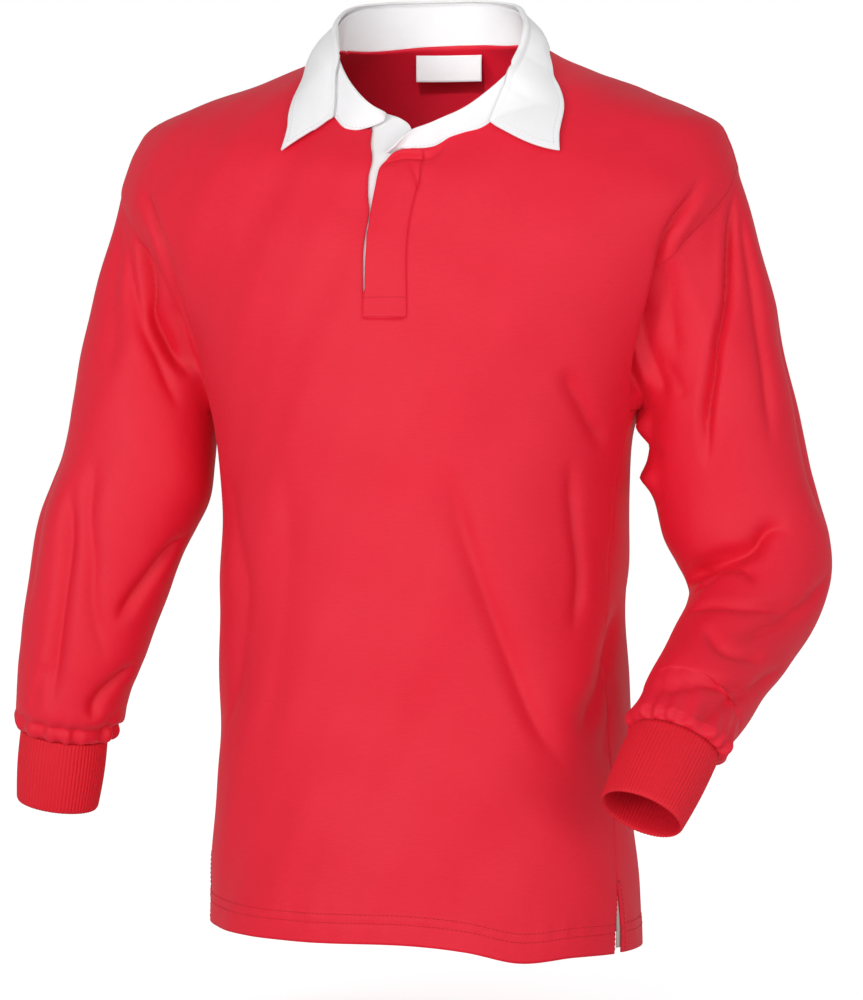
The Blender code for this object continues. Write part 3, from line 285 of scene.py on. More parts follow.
LEFT_SLEEVE_FOLDS = (
    # running down from the sleeve's head
    (0.0115, 0.009, -0.5, ((16, 0.6), (22, 1.1), (40, 2.2), (54, 3.2), (70, 3.9), (82, 4.7),
                           (92, 5.8), (98, 7.6))),
    (0.0050, 0.009, 0.3, ((14, 1.2), (30, 2.9), (34, 3.8), (38, 4.6), (42, 5.5), (46, 7.4))),
    (0.0045, 0.009, 0.0, ((98, 0.5), (112, 1.5), (124, 2.8), (128, 4.3), (126, 5.6))),
    (0.0020, 0.007, 0.0, ((72, 0.6), (84, 1.7), (98, 2.9), (106, 3.9))),
    (0.0020, 0.007, 0.0, ((116, 3.6), (112, 4.5), (109, 5.4))),
    (0.0060, 0.014, 0.0, ((350, 3.9), (354, 4.9), (358, 6.4), (0, 8.6), (6, 10.0))),
    (-0.0125, 0.015, 0.0, ((198, 4.4), (182, 5.5), (168, 6.35), (152, 6.45))),
    (0.0030, 0.007, 0.0, ((200, 6.8), (174, 6.8), (150, 6.9), (132, 7.1))),
    (-0.0100, 0.012, 0.0, ((204, 8.1), (184, 7.7), (164, 7.6), (144, 7.8))),
    (-0.0050, 0.011, 0.0, ((112, 0.6), (130, 2.0), (140, 3.4), (140, 4.8))),
    # into the elbow's bend
    (0.0135, 0.010, 0.2, ((176, 11.3), (160, 11.3), (144, 11.5), (114, 11.2), (84, 10.6), (66, 9.8),
                          (48, 9.9))),
    (0.0060, 0.008, 0.2, ((140, 12.8), (122, 12.5), (102, 11.9), (86, 12.0), (66, 12.6))),
    (0.0055, 0.008, 0.2, ((130, 13.9), (114, 13.7), (72, 13.5), (44, 12.9), (20, 12.2))),
    (0.0050, 0.007, 0.2, ((96, 14.2), (80, 14.6), (66, 14.8), (42, 14.6), (18, 14.0))),
    (0.0060, 0.009, 0.2, ((62, 14.5), (42, 13.8), (28, 13.0), (16, 12.0), (0, 10.8))),
    # down the forearm to the cuff
    (0.0070, 0.009, 0.2, ((130, 17.4), (104, 17.5), (76, 17.2), (34, 15.7), (6, 14.8))),
    (0.0070, 0.009, 0.2, ((80, 18.7), (60, 18.2), (40, 17.4), (22, 16.1), (2, 14.6),
                          (346, 13.4))),
    # behind
    (0.0055, 0.012, 0.0, ((300, 1.2), (286, 2.5), (268, 4.2), (256, 6.0))),
    (0.0045, 0.012, 0.0, ((330, 2.0), (318, 3.9), (312, 6.2), (316, 8.5))),
    (0.0060, 0.010, 0.0, ((190, 11.4), (212, 11.0), (236, 10.2), (262, 9.8))),
    (0.0045, 0.010, 0.0, ((198, 13.0), (226, 12.6), (258, 12.4), (288, 13.2))),
    (0.0045, 0.009, 0.0, ((206, 16.4), (232, 15.4), (262, 14.8), (300, 14.9))),
    (0.0035, 0.009, 0.0, ((240, 18.3), (268, 17.2), (300, 16.6))),
)
RIGHT_SLEEVE_FOLDS = (
    (0.0150, 0.011, 0.3, ((52, 0.4), (62, 1.1), (72, 1.7), (84, 2.3), (112, 2.8), (146, 3.4))),
    (0.0030, 0.007, 0.0, ((100, 1.0), (112, 1.1), (128, 1.8), (146, 3.0))),
    (0.0055, 0.008, 0.2, ((44, 0.6), (56, 2.0), (80, 3.0), (112, 3.8), (128, 4.8), (140, 6.2))),
    (0.0030, 0.009, 0.0, ((36, 1.0), (44, 2.2), (50, 3.0), (66, 4.0), (78, 5.2))),
    (0.0060, 0.011, 0.2, ((74, 7.4), (86, 9.8), (97, 11.4), (106, 12.4), (124, 13.2),
                          (136, 13.9))),
    (0.0085, 0.011, 0.2, ((58, 8.4), (74, 11.2), (78, 12.4), (83, 13.8), (88, 15.6),
                          (86, 17.0))),
    (0.0025, 0.008, 0.0, ((76, 14.2), (71, 15.4), (65, 17.0))),
    (0.0090, 0.011, 0.3, ((176, 9.2), (158, 10.5), (146, 11.7), (136, 12.3), (126, 12.7))),
    (0.0075, 0.009, 0.2, ((172, 13.6), (150, 14.5), (134, 15.6), (131, 17.0))),
    (0.0035, 0.008, 0.0, ((152, 16.2), (156, 18.0), (152, 19.6), (147, 20.4))),
    (0.0030, 0.012, 0.0, ((20, 6.0), (24, 8.5), (32, 11.0), (36, 13.5))),
    # behind
    (0.0060, 0.012, 0.0, ((306, 1.2), (288, 2.4), (262, 3.8), (236, 5.6))),
    (0.0045, 0.012, 0.0, ((326, 2.2), (312, 4.2), (304, 6.6), (308, 9.0))),
    (0.0055, 0.011, 0.0, ((186, 10.6), (210, 11.4), (238, 12.6), (262, 13.2))),
    (0.0045, 0.010, 0.0, ((196, 13.2), (222, 14.6), (246, 15.8), (258, 17.2))),
    (0.0040, 0.010, 0.0, ((330, 10.0), (316, 12.4), (300, 14.8), (292, 17.0))),
)
# A crease across its path: how fast it falls off and how sharply, how much steeper its
# steep side is, how high its ridge is, and the share of its length that each end takes
FOLD_FALL = 1.1
FOLD_POWER = 1.5
FOLD_STEEPER = 2.2
FOLD_RIDGE = 2
FOLD_END = 0.25
FOLD_STEPS = 25            # points of its path
FOLD_REACH = 4             # half widths that it acts over
# The cloth's broad unevenness: height, wavelength, then the way its waves run
SWELLS = (
    (0.0010, 0.190, (1.0, 0.2, 0.5)), (0.0009, 0.130, (-0.7, 0.3, 0.9)),
    (0.0007, 0.085, (0.9, -0.4, -0.6)), (0.0005, 0.060, (0.3, 0.8, 1.0)),
    (0.0003, 0.038, (-0.9, 0.5, 0.4)),
)


# ---------------------------------------------------------------- curves and surfaces
def blend_rows(rows, at):
    """Every column of a table after the first, smoothly, at values of the first."""
    table = np.array(rows, float)
    keys = table[:, 0]
    slopes = np.gradient(table[:, 1:], keys, axis=0)
    at = np.clip(np.asarray(at, float), keys[0], keys[-1])
    low = np.clip(np.searchsorted(keys, at, side="right") - 1, 0, len(keys) - 2)
    step = keys[low + 1] - keys[low]
    share = ((at - keys[low]) / step)[..., None]
    step = step[..., None]
    start, end = table[low, 1:], table[low + 1, 1:]
    return (start * (1 + 2 * share) * (1 - share) ** 2
            + end * share ** 2 * (3 - 2 * share)
            + slopes[low] * step * share * (1 - share) ** 2
            - slopes[low + 1] * step * share ** 2 * (1 - share))


def along(points, shares):
    """Points at shares of the length of a smooth curve through the given ones."""
    points = np.array(points, float)
    steps = np.linalg.norm(np.diff(points, axis=0), axis=1)
    reach = np.concatenate([[0.0], np.cumsum(steps)]) / steps.sum()
    return blend_rows(np.column_stack([reach, points]), shares)


def ease(value):
    """0 to 1 with a soft start and a soft end."""
    value = np.clip(value, 0.0, 1.0)
    return value * value * (3 - 2 * value)


def unit(vectors):
    """Vectors of length 1."""
    return vectors / np.maximum(np.linalg.norm(vectors, axis=-1, keepdims=True), 1e-12)


def refine(values, times):
    """The same run of values with more places between each two."""
    values = np.asarray(values, float)
    places = np.arange((len(values) - 1) * times + 1) / times
    return np.interp(places, np.arange(len(values)), values)


def smooth_rows(points, places):
    """A grid's rows, smoothly, at places given as row numbers."""
    count, columns = points.shape[:2]
    table = np.column_stack([np.arange(count), points.reshape(count, -1)])
    return blend_rows(table, places).reshape(len(places), columns, 3)


def body_point(turn, height):
    """The plain body at a turn in degrees and a height, before any folds."""
    turn, height = np.broadcast_arrays(np.asarray(turn, float), np.asarray(height, float))
    half_width, front, back, squareness, shift = np.moveaxis(
        blend_rows(BODY_RINGS, height), -1, 0)
    sine, cosine = np.sin(np.radians(turn)), np.cos(np.radians(turn))
    x = shift + half_width * np.sign(sine) * np.abs(sine) ** (2 / squareness)
    depth = np.where(cosine > 0, front, back)
    y = -depth * np.sign(cosine) * np.abs(cosine) ** (2 / squareness)
    return np.stack([x, y, height], axis=-1)


def turn_at(forward, height):
    """The turn, 0 to 180, of the body's point that lies this far forward."""
    _, front, back, squareness, _ = np.moveaxis(blend_rows(BODY_RINGS, height), -1, 0)
    depth = np.where(forward > 0, front, back)
    cosine = np.sign(forward) * (np.abs(forward) / depth) ** (squareness / 2)
    return np.degrees(np.arccos(np.clip(cosine, -1, 1)))


def body_normal(turn, height):
    """The way out of the plain body."""
    step = 0.25
    round_it = body_point(turn + step, height) - body_point(turn - step, height)
    up_it = body_point(turn, height + 0.001) - body_point(turn, height - 0.001)
    return unit(np.cross(round_it, up_it))


def swell(points):
    """The cloth's broad unevenness at points."""
    offsets = np.zeros(points.shape[:-1])
    for index, (size, wave, way) in enumerate(SWELLS):
        push = np.array(way) / np.linalg.norm(way) * 2 * math.pi / wave
        offsets += size * np.sin(points @ push + 1.7 * index)
    return offsets


def body_surface(turn, height, lift=0.0):
    """The body with its folds and unevenness, moved out by lift."""
    points, normals = body_point(turn, height), body_normal(turn, height)
    offsets = fold_offsets(points, normals, BODY_FOLDS, body_point) + swell(points) + lift
    return points + normals * offsets[..., None]


def neck_height(turn):
    """The neckline's height at a turn of -180 to 180."""
    heights = blend_rows(NECKLINE, np.abs(turn))
    return np.where(np.asarray(turn) < 0, heights[..., 0], heights[..., 1])


def hem_height(turn):
    """The hem's height at a turn."""
    return blend_rows(HEM, (np.asarray(turn) + 180) % 360 - 180)[..., 0]


def grid_normals(points, closed=False):
    """Normals of a grid of points, rows by columns; closed joins the last column."""
    if closed:
        across = np.roll(points, -1, axis=1) - np.roll(points, 1, axis=1)
    else:
        across = np.gradient(points, axis=1)
    return unit(np.cross(across, np.gradient(points, axis=0)))


def fold_offsets(points, normals, folds, place):
    """How far each point moves out for the folds; place gives a fold's points."""
    offsets = np.zeros(points.shape[:-1])
    for depth, width, lean, path in folds:
        line = along([place(*spot) for spot in path], np.linspace(0, 1, FOLD_STEPS))
        near = np.linalg.norm(points - line.mean(axis=0), axis=-1) < (
            np.linalg.norm(line - line.mean(axis=0), axis=1).max() + FOLD_REACH * width)
        gap, share, side = nearest(points[near], normals[near], line)
        taper = ease(share / FOLD_END) * ease((1 - share) / FOLD_END)
        reach = gap / width
        raised = (side * lean > 0) * FOLD_RIDGE * abs(lean) * reach * np.exp(-reach ** 2)
        steep = 1 + FOLD_STEEPER * abs(lean) * (side * lean <= 0)
        trough = np.exp(-FOLD_FALL * (reach * steep) ** FOLD_POWER)
        offsets[near] += depth * taper * (raised - trough)
    return offsets


def nearest(points, normals, line):
    """Distance to a line, the share of it reached, and which side a point is on."""
    best = np.full(points.shape[:-1], 1e9)
    share = np.zeros_like(best)
    side = np.zeros_like(best)
    for index in range(len(line) - 1):
        start, run = line[index], line[index + 1] - line[index]
        part = np.clip((points - start) @ run / (run @ run), 0, 1)
        away = points - (start + part[..., None] * run)
        gap = np.linalg.norm(away, axis=-1)
        closer = gap < best
        best = np.where(closer, gap, best)
        share = np.where(closer, (index + part) / (len(line) - 1), share)
        turned = np.sign(np.einsum("...k,...k", np.cross(normals, run), away))
        side = np.where(closer, turned, side)
    return best, share, side


# ---------------------------------------------------------------- meshes
def cloth_places(points):
    """How far along and up the cloth each point of a grid lies, in metres."""
    across = np.linalg.norm(np.diff(points, axis=1), axis=-1)
    across = np.concatenate([np.zeros((len(points), 1)), np.cumsum(across, axis=1)], axis=1)
    across -= across[:, across.shape[1] // 2][:, None]
    up = np.linalg.norm(np.diff(points, axis=0), axis=-1)
    up = np.concatenate([np.zeros((1, points.shape[1])), np.cumsum(up, axis=0)], axis=0)
    return np.stack([across, up, np.zeros_like(up)], axis=-1)


def add_mesh(name, vertices, faces, places, finish):
    """A smooth mesh object that carries each point's place on the cloth."""
    mesh = bpy.data.meshes.new(name)
    mesh.from_pydata(np.asarray(vertices).tolist(), [], faces)
    mesh.update()
    mesh.shade_smooth()
    if places is not None:
        layer = mesh.attributes.new("cloth", "FLOAT_VECTOR", "POINT")
        layer.data.foreach_set("vector", np.asarray(places, np.float32).ravel())
    mesh.materials.append(finish)
    made = bpy.data.objects.new(name, mesh)
    bpy.context.scene.collection.objects.link(made)
    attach(made, "root")
    return made


def lay_cloth(name, points, thickness, finish, closed=False, holes=None, normals=None):
    """A wall of cloth: a grid of outer points, the same points moved in, and the rims."""
    if normals is None:
        normals = grid_normals(points, closed)
    rows, columns = points.shape[:2]
    places = cloth_places(points).reshape(-1, 3)
    row, column = np.meshgrid(np.arange(rows - 1), np.arange(columns if closed else columns - 1),
                              indexing="ij")
    kept = np.ones(row.shape, bool) if holes is None else ~holes
    row, column = row[kept], column[kept]
    beside = (column + 1) % columns
    outer = np.stack([row * columns + column, row * columns + beside,
                      (row + 1) * columns + beside, (row + 1) * columns + column], axis=1)
    used, outer = np.unique(outer, return_inverse=True)
    outer = outer.reshape(-1, 4)
    count = len(used)
    faces = outer.tolist()
    inner = (outer[:, (0, 3, 2, 1)] + count).tolist()
    edges = set()
    for first in range(4):
        edges.update(zip(outer[:, first].tolist(), outer[:, (first + 1) % 4].tolist()))
    rims = [[end, start, start + count, end + count]
            for start, end in sorted(edges) if (end, start) not in edges]
    outside = points.reshape(-1, 3)[used]
    inside = outside - normals.reshape(-1, 3)[used] * thickness
    return add_mesh(name, np.concatenate([outside, inside]), faces + inner + rims,
                    np.concatenate([places[used], places[used]]), finish)


def on_grid(points, rows, columns):
    """Points of a grid at row and column numbers that need not be whole."""
    low_row = np.clip(np.floor(rows).astype(int), 0, points.shape[0] - 2)
    low_column = np.clip(np.floor(columns).astype(int), 0, points.shape[1] - 2)
    down, over = (rows - low_row)[:, None], (columns - low_column)[:, None]
    return ((points[low_row, low_column] * (1 - down) + points[low_row + 1, low_column] * down)
            * (1 - over)
            + (points[low_row, low_column + 1] * (1 - down)
               + points[low_row + 1, low_column + 1] * down) * over)


def rows_above(points, distance, columns, from_end=False):
    """Row numbers that lie a distance up the grid's columns from its first or last row."""
    heights = cloth_places(points)[..., 1]
    found = []
    for column in np.clip(np.round(columns).astype(int), 0, points.shape[1] - 1):
        run = heights[:, column]
        goal = run[-1] - distance if from_end else distance
        found.append(np.interp(goal, run, np.arange(len(run))))
    return np.array(found)


# A stitch: place along it, share of its radius, rise off the cloth in radii
STITCH_SHAPE = ((-0.5, 0.35, -0.4), (-0.36, 0.9, 0.1), (0.0, 1.0, 0.35), (0.36, 0.9, 0.1),
                (0.5, 0.35, -0.4))
STITCH_CORNERS = 6


def stitch_line(path, normals, length, gap, radius):
    """Vertices and faces of a row of stitches that follows a path on the cloth."""
    steps = np.linalg.norm(np.diff(path, axis=0), axis=1)
    reach = np.concatenate([[0.0], np.cumsum(steps)])
    count = max(int(reach[-1] / (length + gap)), 1)
    pitch = reach[-1] / count
    corners = STITCH_CORNERS
    sides = np.arange(corners) * 2 * math.pi / corners
    vertices, faces = [], []
    for index in range(count):
        middle = (index + 0.5) * pitch
        at = np.array([middle + place * length for place, _, _ in STITCH_SHAPE])
        spots = np.stack([np.interp(at, reach, path[:, axis]) for axis in range(3)], axis=1)
        outs = unit(np.stack([np.interp(at, reach, normals[:, axis]) for axis in range(3)],
                             axis=1))
        run = unit(spots[-1] - spots[0])
        for (_, fat, rise), spot, out in zip(STITCH_SHAPE, spots, outs):
            over = unit(np.cross(run, out))
            ring = (spot + out * radius * rise
                    + radius * fat * (np.cos(sides)[:, None] * over
                                      + np.sin(sides)[:, None] * out))
            vertices.append(ring)
        base = index * len(STITCH_SHAPE) * corners
        for ring in range(len(STITCH_SHAPE) - 1):
            for corner in range(corners):
                beside = (corner + 1) % corners
                first = base + ring * corners
                faces.append([first + corner, first + beside, first + corners + beside,
                              first + corners + corner])
        faces.append([base + corner for corner in range(corners)][::-1])
        last = base + (len(STITCH_SHAPE) - 1) * corners
        faces.append([last + corner for corner in range(corners)])
    return np.concatenate(vertices), faces


def add_stitches(name, lines, finish, length=0.0030, gap=0.0007, radius=0.00034):
    """One object with all the stitches of several lines, each a path and its normals."""
    vertices, faces, count = [], [], 0
    for path, normals in lines:
        more, its_faces = stitch_line(path, normals, length, gap, radius)
        vertices.append(more)
        faces += [[corner + count for corner in face] for face in its_faces]
        count += len(more)
    made = add_mesh(name, np.concatenate(vertices), faces, None, finish)
    return made


# ---------------------------------------------------------------- finishes
class Nodes:
    """A node tree with short calls to place nodes and join them."""

    def __init__(self, tree):
        self.tree = tree

    def add(self, kind, **settings):
        node = self.tree.nodes.new(kind)
        for name, value in settings.items():
            setattr(node, name, value)
        return node

    def join(self, source, target):
        self.tree.links.new(source, target)

    def math(self, operation, first, second=None):
        node = self.add("ShaderNodeMath", operation=operation)
        for socket, value in zip(node.inputs, (first, second)):
            if value is None:
                continue
            if isinstance(value, (int, float)):
                socket.default_value = value
            else:
                self.join(value, socket)
        return node.outputs[0]

    def weighted(self, first, first_share, second, second_share):
        return self.math("ADD", self.math("MULTIPLY", first, first_share),
                         self.math("MULTIPLY", second, second_share))

    def noise(self, vector, scale, detail, roughness):
        node = self.add("ShaderNodeTexNoise")
        node.inputs["Scale"].default_value = scale
        node.inputs["Detail"].default_value = detail
        node.inputs["Roughness"].default_value = roughness
        self.join(vector, node.inputs["Vector"])
        return node.outputs["Fac"]

    def stretch(self, vector, along_it, up_it):
        node = self.add("ShaderNodeVectorMath", operation="MULTIPLY")
        node.inputs[1].default_value = (along_it, up_it, 1.0)
        self.join(vector, node.inputs[0])
        return node.outputs[0]

    def cloth_place(self):
        """The place on the cloth as a vector, and its parts along and up."""
        place = self.add("ShaderNodeAttribute", attribute_name="cloth").outputs["Vector"]
        split = self.add("ShaderNodeSeparateXYZ")
        self.join(place, split.inputs[0])
        return place, split.outputs


def new_group(name, inputs, outputs):
    """A shader node group with number inputs and outputs."""
    tree = bpy.data.node_groups.new(name, "ShaderNodeTree")
    for label, value in inputs:
        socket = tree.interface.new_socket(label, in_out="INPUT", socket_type="NodeSocketFloat")
        socket.default_value = value
    for label in outputs:
        tree.interface.new_socket(label, in_out="OUTPUT", socket_type="NodeSocketFloat")
    made = Nodes(tree)
    return tree, made, made.add("NodeGroupInput").outputs, made.add("NodeGroupOutput").inputs


def knit_group():
    """Jersey: loops in wales and courses, with thicker places in the yarn."""
    tree, made, given, result = new_group(
        "knitted_loops", (("Wale", 0.0012), ("Course", 0.0009), ("Slub", 0.6)),
        ("Height", "Tone"))
    place, parts = made.cloth_place()
    wale = made.math("DIVIDE", parts[0], given["Wale"])
    course = made.math("DIVIDE", parts[1], given["Course"])
    across = made.math("ABSOLUTE", made.math("SUBTRACT", made.math("FRACT", wale), 0.5))
    slanted = made.math("ADD", course, made.math("MULTIPLY", across, 1.4))
    loop = made.math("SINE", made.math("MULTIPLY", slanted, 2 * math.pi))
    column = made.math("COSINE", made.math("MULTIPLY", across, 2 * math.pi))
    knit = made.weighted(loop, 0.06, column, -0.08)
    streak = made.noise(made.stretch(place, 90.0, 900.0), 1.0, 3.0, 0.6)
    fine = made.noise(made.stretch(place, 500.0, 1500.0), 1.0, 2.0, 0.5)
    slub = made.weighted(streak, 0.65, fine, 0.35)
    made.join(made.math("ADD", knit, made.math("MULTIPLY", slub, given["Slub"])),
              result["Height"])
    cloudy = made.noise(made.stretch(place, 22.0, 22.0), 1.0, 2.0, 0.5)
    made.join(made.weighted(slub, 0.75, cloudy, 0.25), result["Tone"])
    return tree


def twill_group():
    """Twill: slanted ribs of fine yarn."""
    tree, made, given, result = new_group(
        "twill_ribs", (("Rib", 0.0010), ("Slant", 1.0)), ("Height", "Tone"))
    place, parts = made.cloth_place()
    slanted = made.math("ADD", parts[0], made.math("MULTIPLY", parts[1], given["Slant"]))
    rib = made.math("SINE", made.math("MULTIPLY", made.math("DIVIDE", slanted, given["Rib"]),
                                      2 * math.pi))
    grain = made.noise(made.stretch(place, 700.0, 700.0), 1.0, 2.0, 0.5)
    cloudy = made.noise(made.stretch(place, 30.0, 30.0), 1.0, 2.0, 0.5)
    made.join(made.weighted(rib, 0.3, grain, 0.5), result["Height"])
    made.join(made.weighted(grain, 0.4, cloudy, 0.6), result["Tone"])
    return tree


KNIT = knit_group()
TWILL_RIBS = twill_group()


def cloth_finish(name, group, values, dark, light, roughness, bump, sheen, tint=(1, 1, 1)):
    """A cloth material: two tones by the weave's mask, and its relief as a bump."""
    made = bpy.data.materials.new(name)
    made.use_nodes = True
    nodes = Nodes(made.node_tree)
    shader = made.node_tree.nodes["Principled BSDF"]
    shader.inputs["Roughness"].default_value = roughness
    shader.inputs["Specular IOR Level"].default_value = 0.32
    shader.inputs["Sheen Weight"].default_value = sheen
    shader.inputs["Sheen Roughness"].default_value = 0.45
    shader.inputs["Sheen Tint"].default_value = (*tint, 1.0)
    weave = nodes.add("ShaderNodeGroup", node_tree=group)
    for label, value in values.items():
        weave.inputs[label].default_value = value
    ramp = nodes.add("ShaderNodeValToRGB")
    ramp.color_ramp.elements[0].position = 0.32
    ramp.color_ramp.elements[0].color = (*dark, 1.0)
    ramp.color_ramp.elements[1].position = 0.68
    ramp.color_ramp.elements[1].color = (*light, 1.0)
    nodes.join(weave.outputs["Tone"], ramp.inputs[0])
    nodes.join(ramp.outputs[0], shader.inputs["Base Color"])
    relief = nodes.add("ShaderNodeBump")
    relief.inputs["Strength"].default_value = bump
    relief.inputs["Distance"].default_value = 0.0005
    nodes.join(weave.outputs["Height"], relief.inputs["Height"])
    nodes.join(relief.outputs[0], shader.inputs["Normal"])
    return made


def pale_floor():
    """A matt white floor that stays white far from the lamps."""
    made = bpy.data.materials.new("pale_floor")
    made.use_nodes = True
    nodes = Nodes(made.node_tree)
    shader = made.node_tree.nodes["Principled BSDF"]
    shader.inputs["Base Color"].default_value = (0.90, 0.90, 0.91, 1.0)
    shader.inputs["Roughness"].default_value = 1.0
    shader.inputs["Specular IOR Level"].default_value = 0.0
    glow = nodes.add("ShaderNodeEmission")
    seen = nodes.add("ShaderNodeLightPath").outputs["Is Camera Ray"]
    nodes.join(nodes.math("MULTIPLY", seen, 0.60), glow.inputs["Strength"])
    both = nodes.add("ShaderNodeAddShader")
    nodes.join(shader.outputs[0], both.inputs[0])
    nodes.join(glow.outputs[0], both.inputs[1])
    nodes.join(both.outputs[0], made.node_tree.nodes["Material Output"].inputs["Surface"])
    return made


RED_JERSEY = cloth_finish("red_jersey", KNIT, {"Wale": 0.0012, "Course": 0.0009},
                          (0.735, 0.0055, 0.026), (0.805, 0.0100, 0.036), 0.58, 0.30, 0.03,
                          (1.0, 0.80, 0.84))
RED_RIB = cloth_finish("red_rib", KNIT, {"Wale": 0.0014, "Course": 0.0010},
                       (0.690, 0.0040, 0.017), (0.760, 0.0080, 0.026), 0.60, 0.30, 0.03,
                       (1.0, 0.80, 0.84))
WHITE_TWILL = cloth_finish("white_twill", TWILL_RIBS, {"Rib": 0.0010},
                           (0.865, 0.855, 0.865), (0.915, 0.908, 0.917), 0.85, 0.25, 0.04)
WHITE_SATIN = cloth_finish("white_satin", TWILL_RIBS, {"Rib": 0.0005, "Slant": 0.0},
                           (0.850, 0.840, 0.850), (0.900, 0.895, 0.905), 0.42, 0.15, 0.05)
STONE_TAPE = cloth_finish("stone_tape", TWILL_RIBS, {"Rib": 0.0014},
                          (0.560, 0.520, 0.470), (0.660, 0.620, 0.570), 0.85, 0.40, 0.06)
RED_THREAD = cloth_finish("red_thread", TWILL_RIBS, {"Rib": 0.0006},
                          (0.560, 0.006, 0.022), (0.640, 0.010, 0.030), 0.60, 0.10, 0.04)
WHITE_THREAD = cloth_finish("white_thread", TWILL_RIBS, {"Rib": 0.0006},
                            (0.720, 0.700, 0.715), (0.780, 0.765, 0.775), 0.60, 0.10, 0.04)


# ---------------------------------------------------------------- the body
PANEL_ROWS = 130           # below the underarm
ARMHOLE_ROWS = 96
ACROSS = 6                 # columns for each of the solid's
BESIDE_SEAM = 0.35         # share of a seam's dip one point away from it
FOOT_ROWS = 11             # rows drawn to the placket's foot on each side of it
NOTCH_ROWS = 48            # rows below the foot over which the notch's lean fades
NOTCH_COLUMNS = 4 * ACROSS   # columns beside the notch that lean with it
NECK_ROWS = 14             # rows that settle onto the neckline
NECK_TURN = 40             # degrees from the centre front that these rows reach


def fine_levels():
    """Levels of a panel's rows: 0 the hem, UNDERARM_LEVEL the underarm, 1 the shoulder."""
    return np.concatenate([np.linspace(0, UNDERARM_LEVEL, PANEL_ROWS, endpoint=False),
                           np.linspace(UNDERARM_LEVEL, 1.0, ARMHOLE_ROWS)])


def seam_inset(turn, height):
    """Degrees that half a seam's gap takes up at a place on the body."""
    degree = np.linalg.norm(body_point(turn + 0.5, height) - body_point(turn - 0.5, height),
                            axis=-1)
    return SEAM_GAP / 2 / degree


def armhole(levels, table):
    """Turns and heights of one half of an armhole at a panel's levels."""
    hole = along(table[::-1], (levels - UNDERARM_LEVEL) / (1 - UNDERARM_LEVEL))
    return turn_at(hole[:, 0], hole[:, 1]), hole[:, 1]


def side_seam(heights):
    """Turns of the side seam: it leans back a little to meet the underarm."""
    underarm = float(turn_at(ARMHOLE_FRONT[-1][0], UNDERARM))
    return SIDE_SEAM_TURN + (underarm - SIDE_SEAM_TURN) * ease(
        (heights - SEAM_LEAN_FROM) / SEAM_LEAN_HEIGHT)


def side_edge(sign, levels, table, inward):
    """Points up one edge of a panel: vent, side seam, then armhole."""
    foot = float(blend_rows(HEM, sign * SIDE_SEAM_TURN)[0])
    heights = foot + (UNDERARM - foot) * np.clip(levels / UNDERARM_LEVEL, 0, 1)
    turns = side_seam(heights) + inward * (
        seam_inset(SIDE_SEAM_TURN, heights)
        + ease((VENT_TOP - heights) / (VENT_TOP - foot)) * VENT_SPREAD)
    up_hole = levels > UNDERARM_LEVEL
    turns[up_hole], heights[up_hole] = armhole(levels[up_hole], table)
    turns[-1] = 90.0 + inward * seam_inset(90.0, SHOULDER_END)
    return body_point(turns * sign, heights)


def onto_body(points):
    """Turn and height where rays from the body's core through points leave the body."""
    core = np.zeros_like(points)
    core[..., 2] = np.minimum(points[..., 2], CORE_HEIGHT)
    low, high = np.zeros(points.shape[:-1]), np.full(points.shape[:-1], 3.0)
    for _ in range(34):
        middle = (low + high) / 2
        outside = body_level(core + (points - core) * middle[..., None]) > 1
        low, high = np.where(outside, low, middle), np.where(outside, middle, high)
    found = core + (points - core) * low[..., None]
    half_width, front, back, squareness, shift = np.moveaxis(
        blend_rows(BODY_RINGS, found[..., 2]), -1, 0)
    depth = np.where(found[..., 1] < 0, front, back)
    sine = np.abs((found[..., 0] - shift) / half_width) ** (squareness / 2)
    cosine = np.abs(found[..., 1] / depth) ** (squareness / 2)
    turns = np.degrees(np.arctan2(sine * np.sign(found[..., 0] - shift),
                                  -cosine * np.sign(found[..., 1])))
    return turns, found[..., 2]


def body_level(points):
    """Below 1 inside the plain body, above 1 outside it."""
    half_width, front, back, squareness, shift = np.moveaxis(
        blend_rows(BODY_RINGS, points[..., 2]), -1, 0)
    depth = np.where(points[..., 1] < 0, front, back)
    level = (np.abs((points[..., 0] - shift) / half_width) ** squareness
             + np.abs(points[..., 1] / depth) ** squareness)
    return np.where(points[..., 2] > BODY_RINGS[-1][0], 2.0, level)


def length_shares(points):
    """Share of a line's length reached at each of its points."""
    steps = np.linalg.norm(np.diff(points, axis=0), axis=1)
    return np.concatenate([[0.0], np.cumsum(steps)]) / steps.sum()


def panel(bottom, top, levels, left, right):
    """Turns and heights of a panel's grid, drawn to its side edges near them."""
    rise = levels[:, None, None] ** TOP_PULL
    share = np.clip(length_shares(bottom)[None, :, None] * (1 - rise)
                    + length_shares(top)[None, :, None] * rise, 0, 1)
    points = bottom * (1 - rise) + top * rise
    points = (points + (1 - share) ** EDGE_PULL * (left[:, None] - points[:, :1])
              + share ** EDGE_PULL * (right[:, None] - points[:, -1:]))
    return onto_body(points)


def top_edge(neck_turns, inward):
    """Turns and heights of half a panel's top: the neckline, then the shoulder seam."""
    seam_heights = refine(SHOULDER_SEAM, ACROSS)
    seam_turns = 90.0 + inward * seam_inset(90.0, seam_heights)
    turns = refine([*neck_turns, seam_turns[0]], ACROSS)[:-1]
    return (np.concatenate([turns, seam_turns]),
            np.concatenate([neck_height(turns), seam_heights]))


